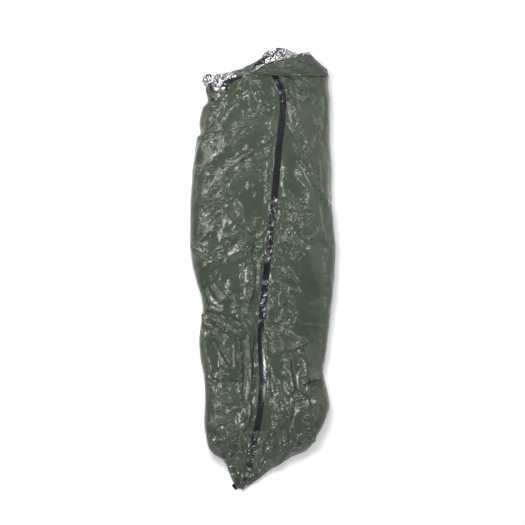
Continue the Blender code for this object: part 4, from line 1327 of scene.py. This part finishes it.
def add_room():
    """A plain white room for the light, of which the camera and the gloss see a shaded picture."""
    world = bpy.data.worlds.new("studio")
    bpy.context.scene.world = world
    world.use_nodes = True
    tree = world.node_tree
    tree.nodes.clear()
    place = node(tree, "SeparateXYZ", {0: node(tree, "TexCoord").outputs["Generated"]}).outputs
    sides = [
        node(tree, "MapRange", {
            "Value": place[axis], "From Min": dark, "From Max": full, "To Min": DARKEST, "To Max": 1.0,
        }).outputs[0]
        for axis, dark, full in DARK_SIDES
    ]
    strength = node(tree, "Math", dict(enumerate(sides)), operation="MULTIPLY").outputs[0]
    colour = colour_ramp(tree, place["Z"], HORIZON, OVERHEAD)
    shown = node(tree, "Background", {"Color": colour, "Strength": strength})
    lit = node(tree, "Background", {"Color": (*WHITE, 1.0), "Strength": ROOM_LIGHT})
    path = node(tree, "LightPath").outputs
    seen = node(tree, "Math", {0: path["Is Camera Ray"], 1: path["Is Glossy Ray"]}, operation="MAXIMUM")
    seen = node(tree, "Math", {0: seen.outputs[0], 1: path["Is Transmission Ray"]}, operation="MAXIMUM")
    mix = node(tree, "MixShader", {0: seen.outputs[0], 1: lit.outputs[0], 2: shown.outputs[0]})
    node(tree, "OutputWorld", {"Surface": mix.outputs[0]})


# Pieces and bodies

# Each piece: the CAD nodes that it stands for, its material slot, and the body that it follows
PIECES = {
    "left_film": (["left_panel", "foot_left_panel"], "olive_film", "left_flap"),
    "left_lining_film": (["left_lining", "foot_left_lining"], "aluminised_film", "left_flap"),
    "right_film": (["right_panel", "foot_right_panel"], "olive_film", "right_flap"),
    "right_lining_film": (["right_lining", "foot_right_lining"], "aluminised_film", "right_flap"),
    "closure_tape": (["right_closure_tape", "foot_right_closure_tape"], "black_tape", "right_flap"),
    "landing_tape": (["left_landing_tape", "foot_left_landing_tape"], "black_tape", "left_flap"),
    "back_film": (["back_panel"], "olive_film", "base"),
    "back_lining_film": (["back_lining"], "aluminised_film", "base"),
    "collar_film": (["collar_panel"], "olive_film", "collar"),
    "collar_lining_film": (["collar_lining"], "aluminised_film", "collar"),
    "collar_tape_strip": (["collar_tape"], "black_tape", "collar"),
    "corner_silver": (["corner_lining"], "aluminised_film", "corner"),
    "corner_lip": (["corner_panel"], "olive_film", "corner"),
    "corner_band": (["corner_tape"], "black_tape", "corner"),
    "corner_under": (["corner_tape"], "black_tape", "corner"),
    "tape_tail": (["tip_tape"], "black_tape", "base"),
    "hood_film": (["hood_back_panel"], "olive_film", "base"),
    "hood_lining": (["hood_back_lining"], "aluminised_film", "base"),
}
# Bodies whose pieces start on another one and bend: that body, and from where to where they change over.
# Only these names are read: such pieces get their place baked in, are not attached to a body and do not bend
BENDS = {
    "left_flap": ("base", (0.0, -0.75, 0.0), (0.25, 0.35, 0.0)),
    "right_flap": ("base", (0.0, -0.75, 0.0), (-0.25, 0.35, 0.0)),
    "collar": ("right_flap", (0.0, NECK_Y, 0.0), (0.0, NECK_Y + COLLAR_BEND, 0.0)),
}


def attach(piece, nodes, slot, body):
    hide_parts(*nodes)
    if body in BENDS:
        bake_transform(piece)
    else:
        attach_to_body(piece, body)


def main():
    add_camera()
    add_floor()
    add_room()
    for light in LIGHTS:
        add_light(*light)
    bpy.context.scene.view_settings.view_transform = "Standard"
    made = {}
    for build in (build_front, build_back, build_collar, build_corner, build_hood, build_tail):
        made.update({piece.name: piece for piece in build()})
    for name, place in PIECES.items():
        attach(made[name], *place)


main()
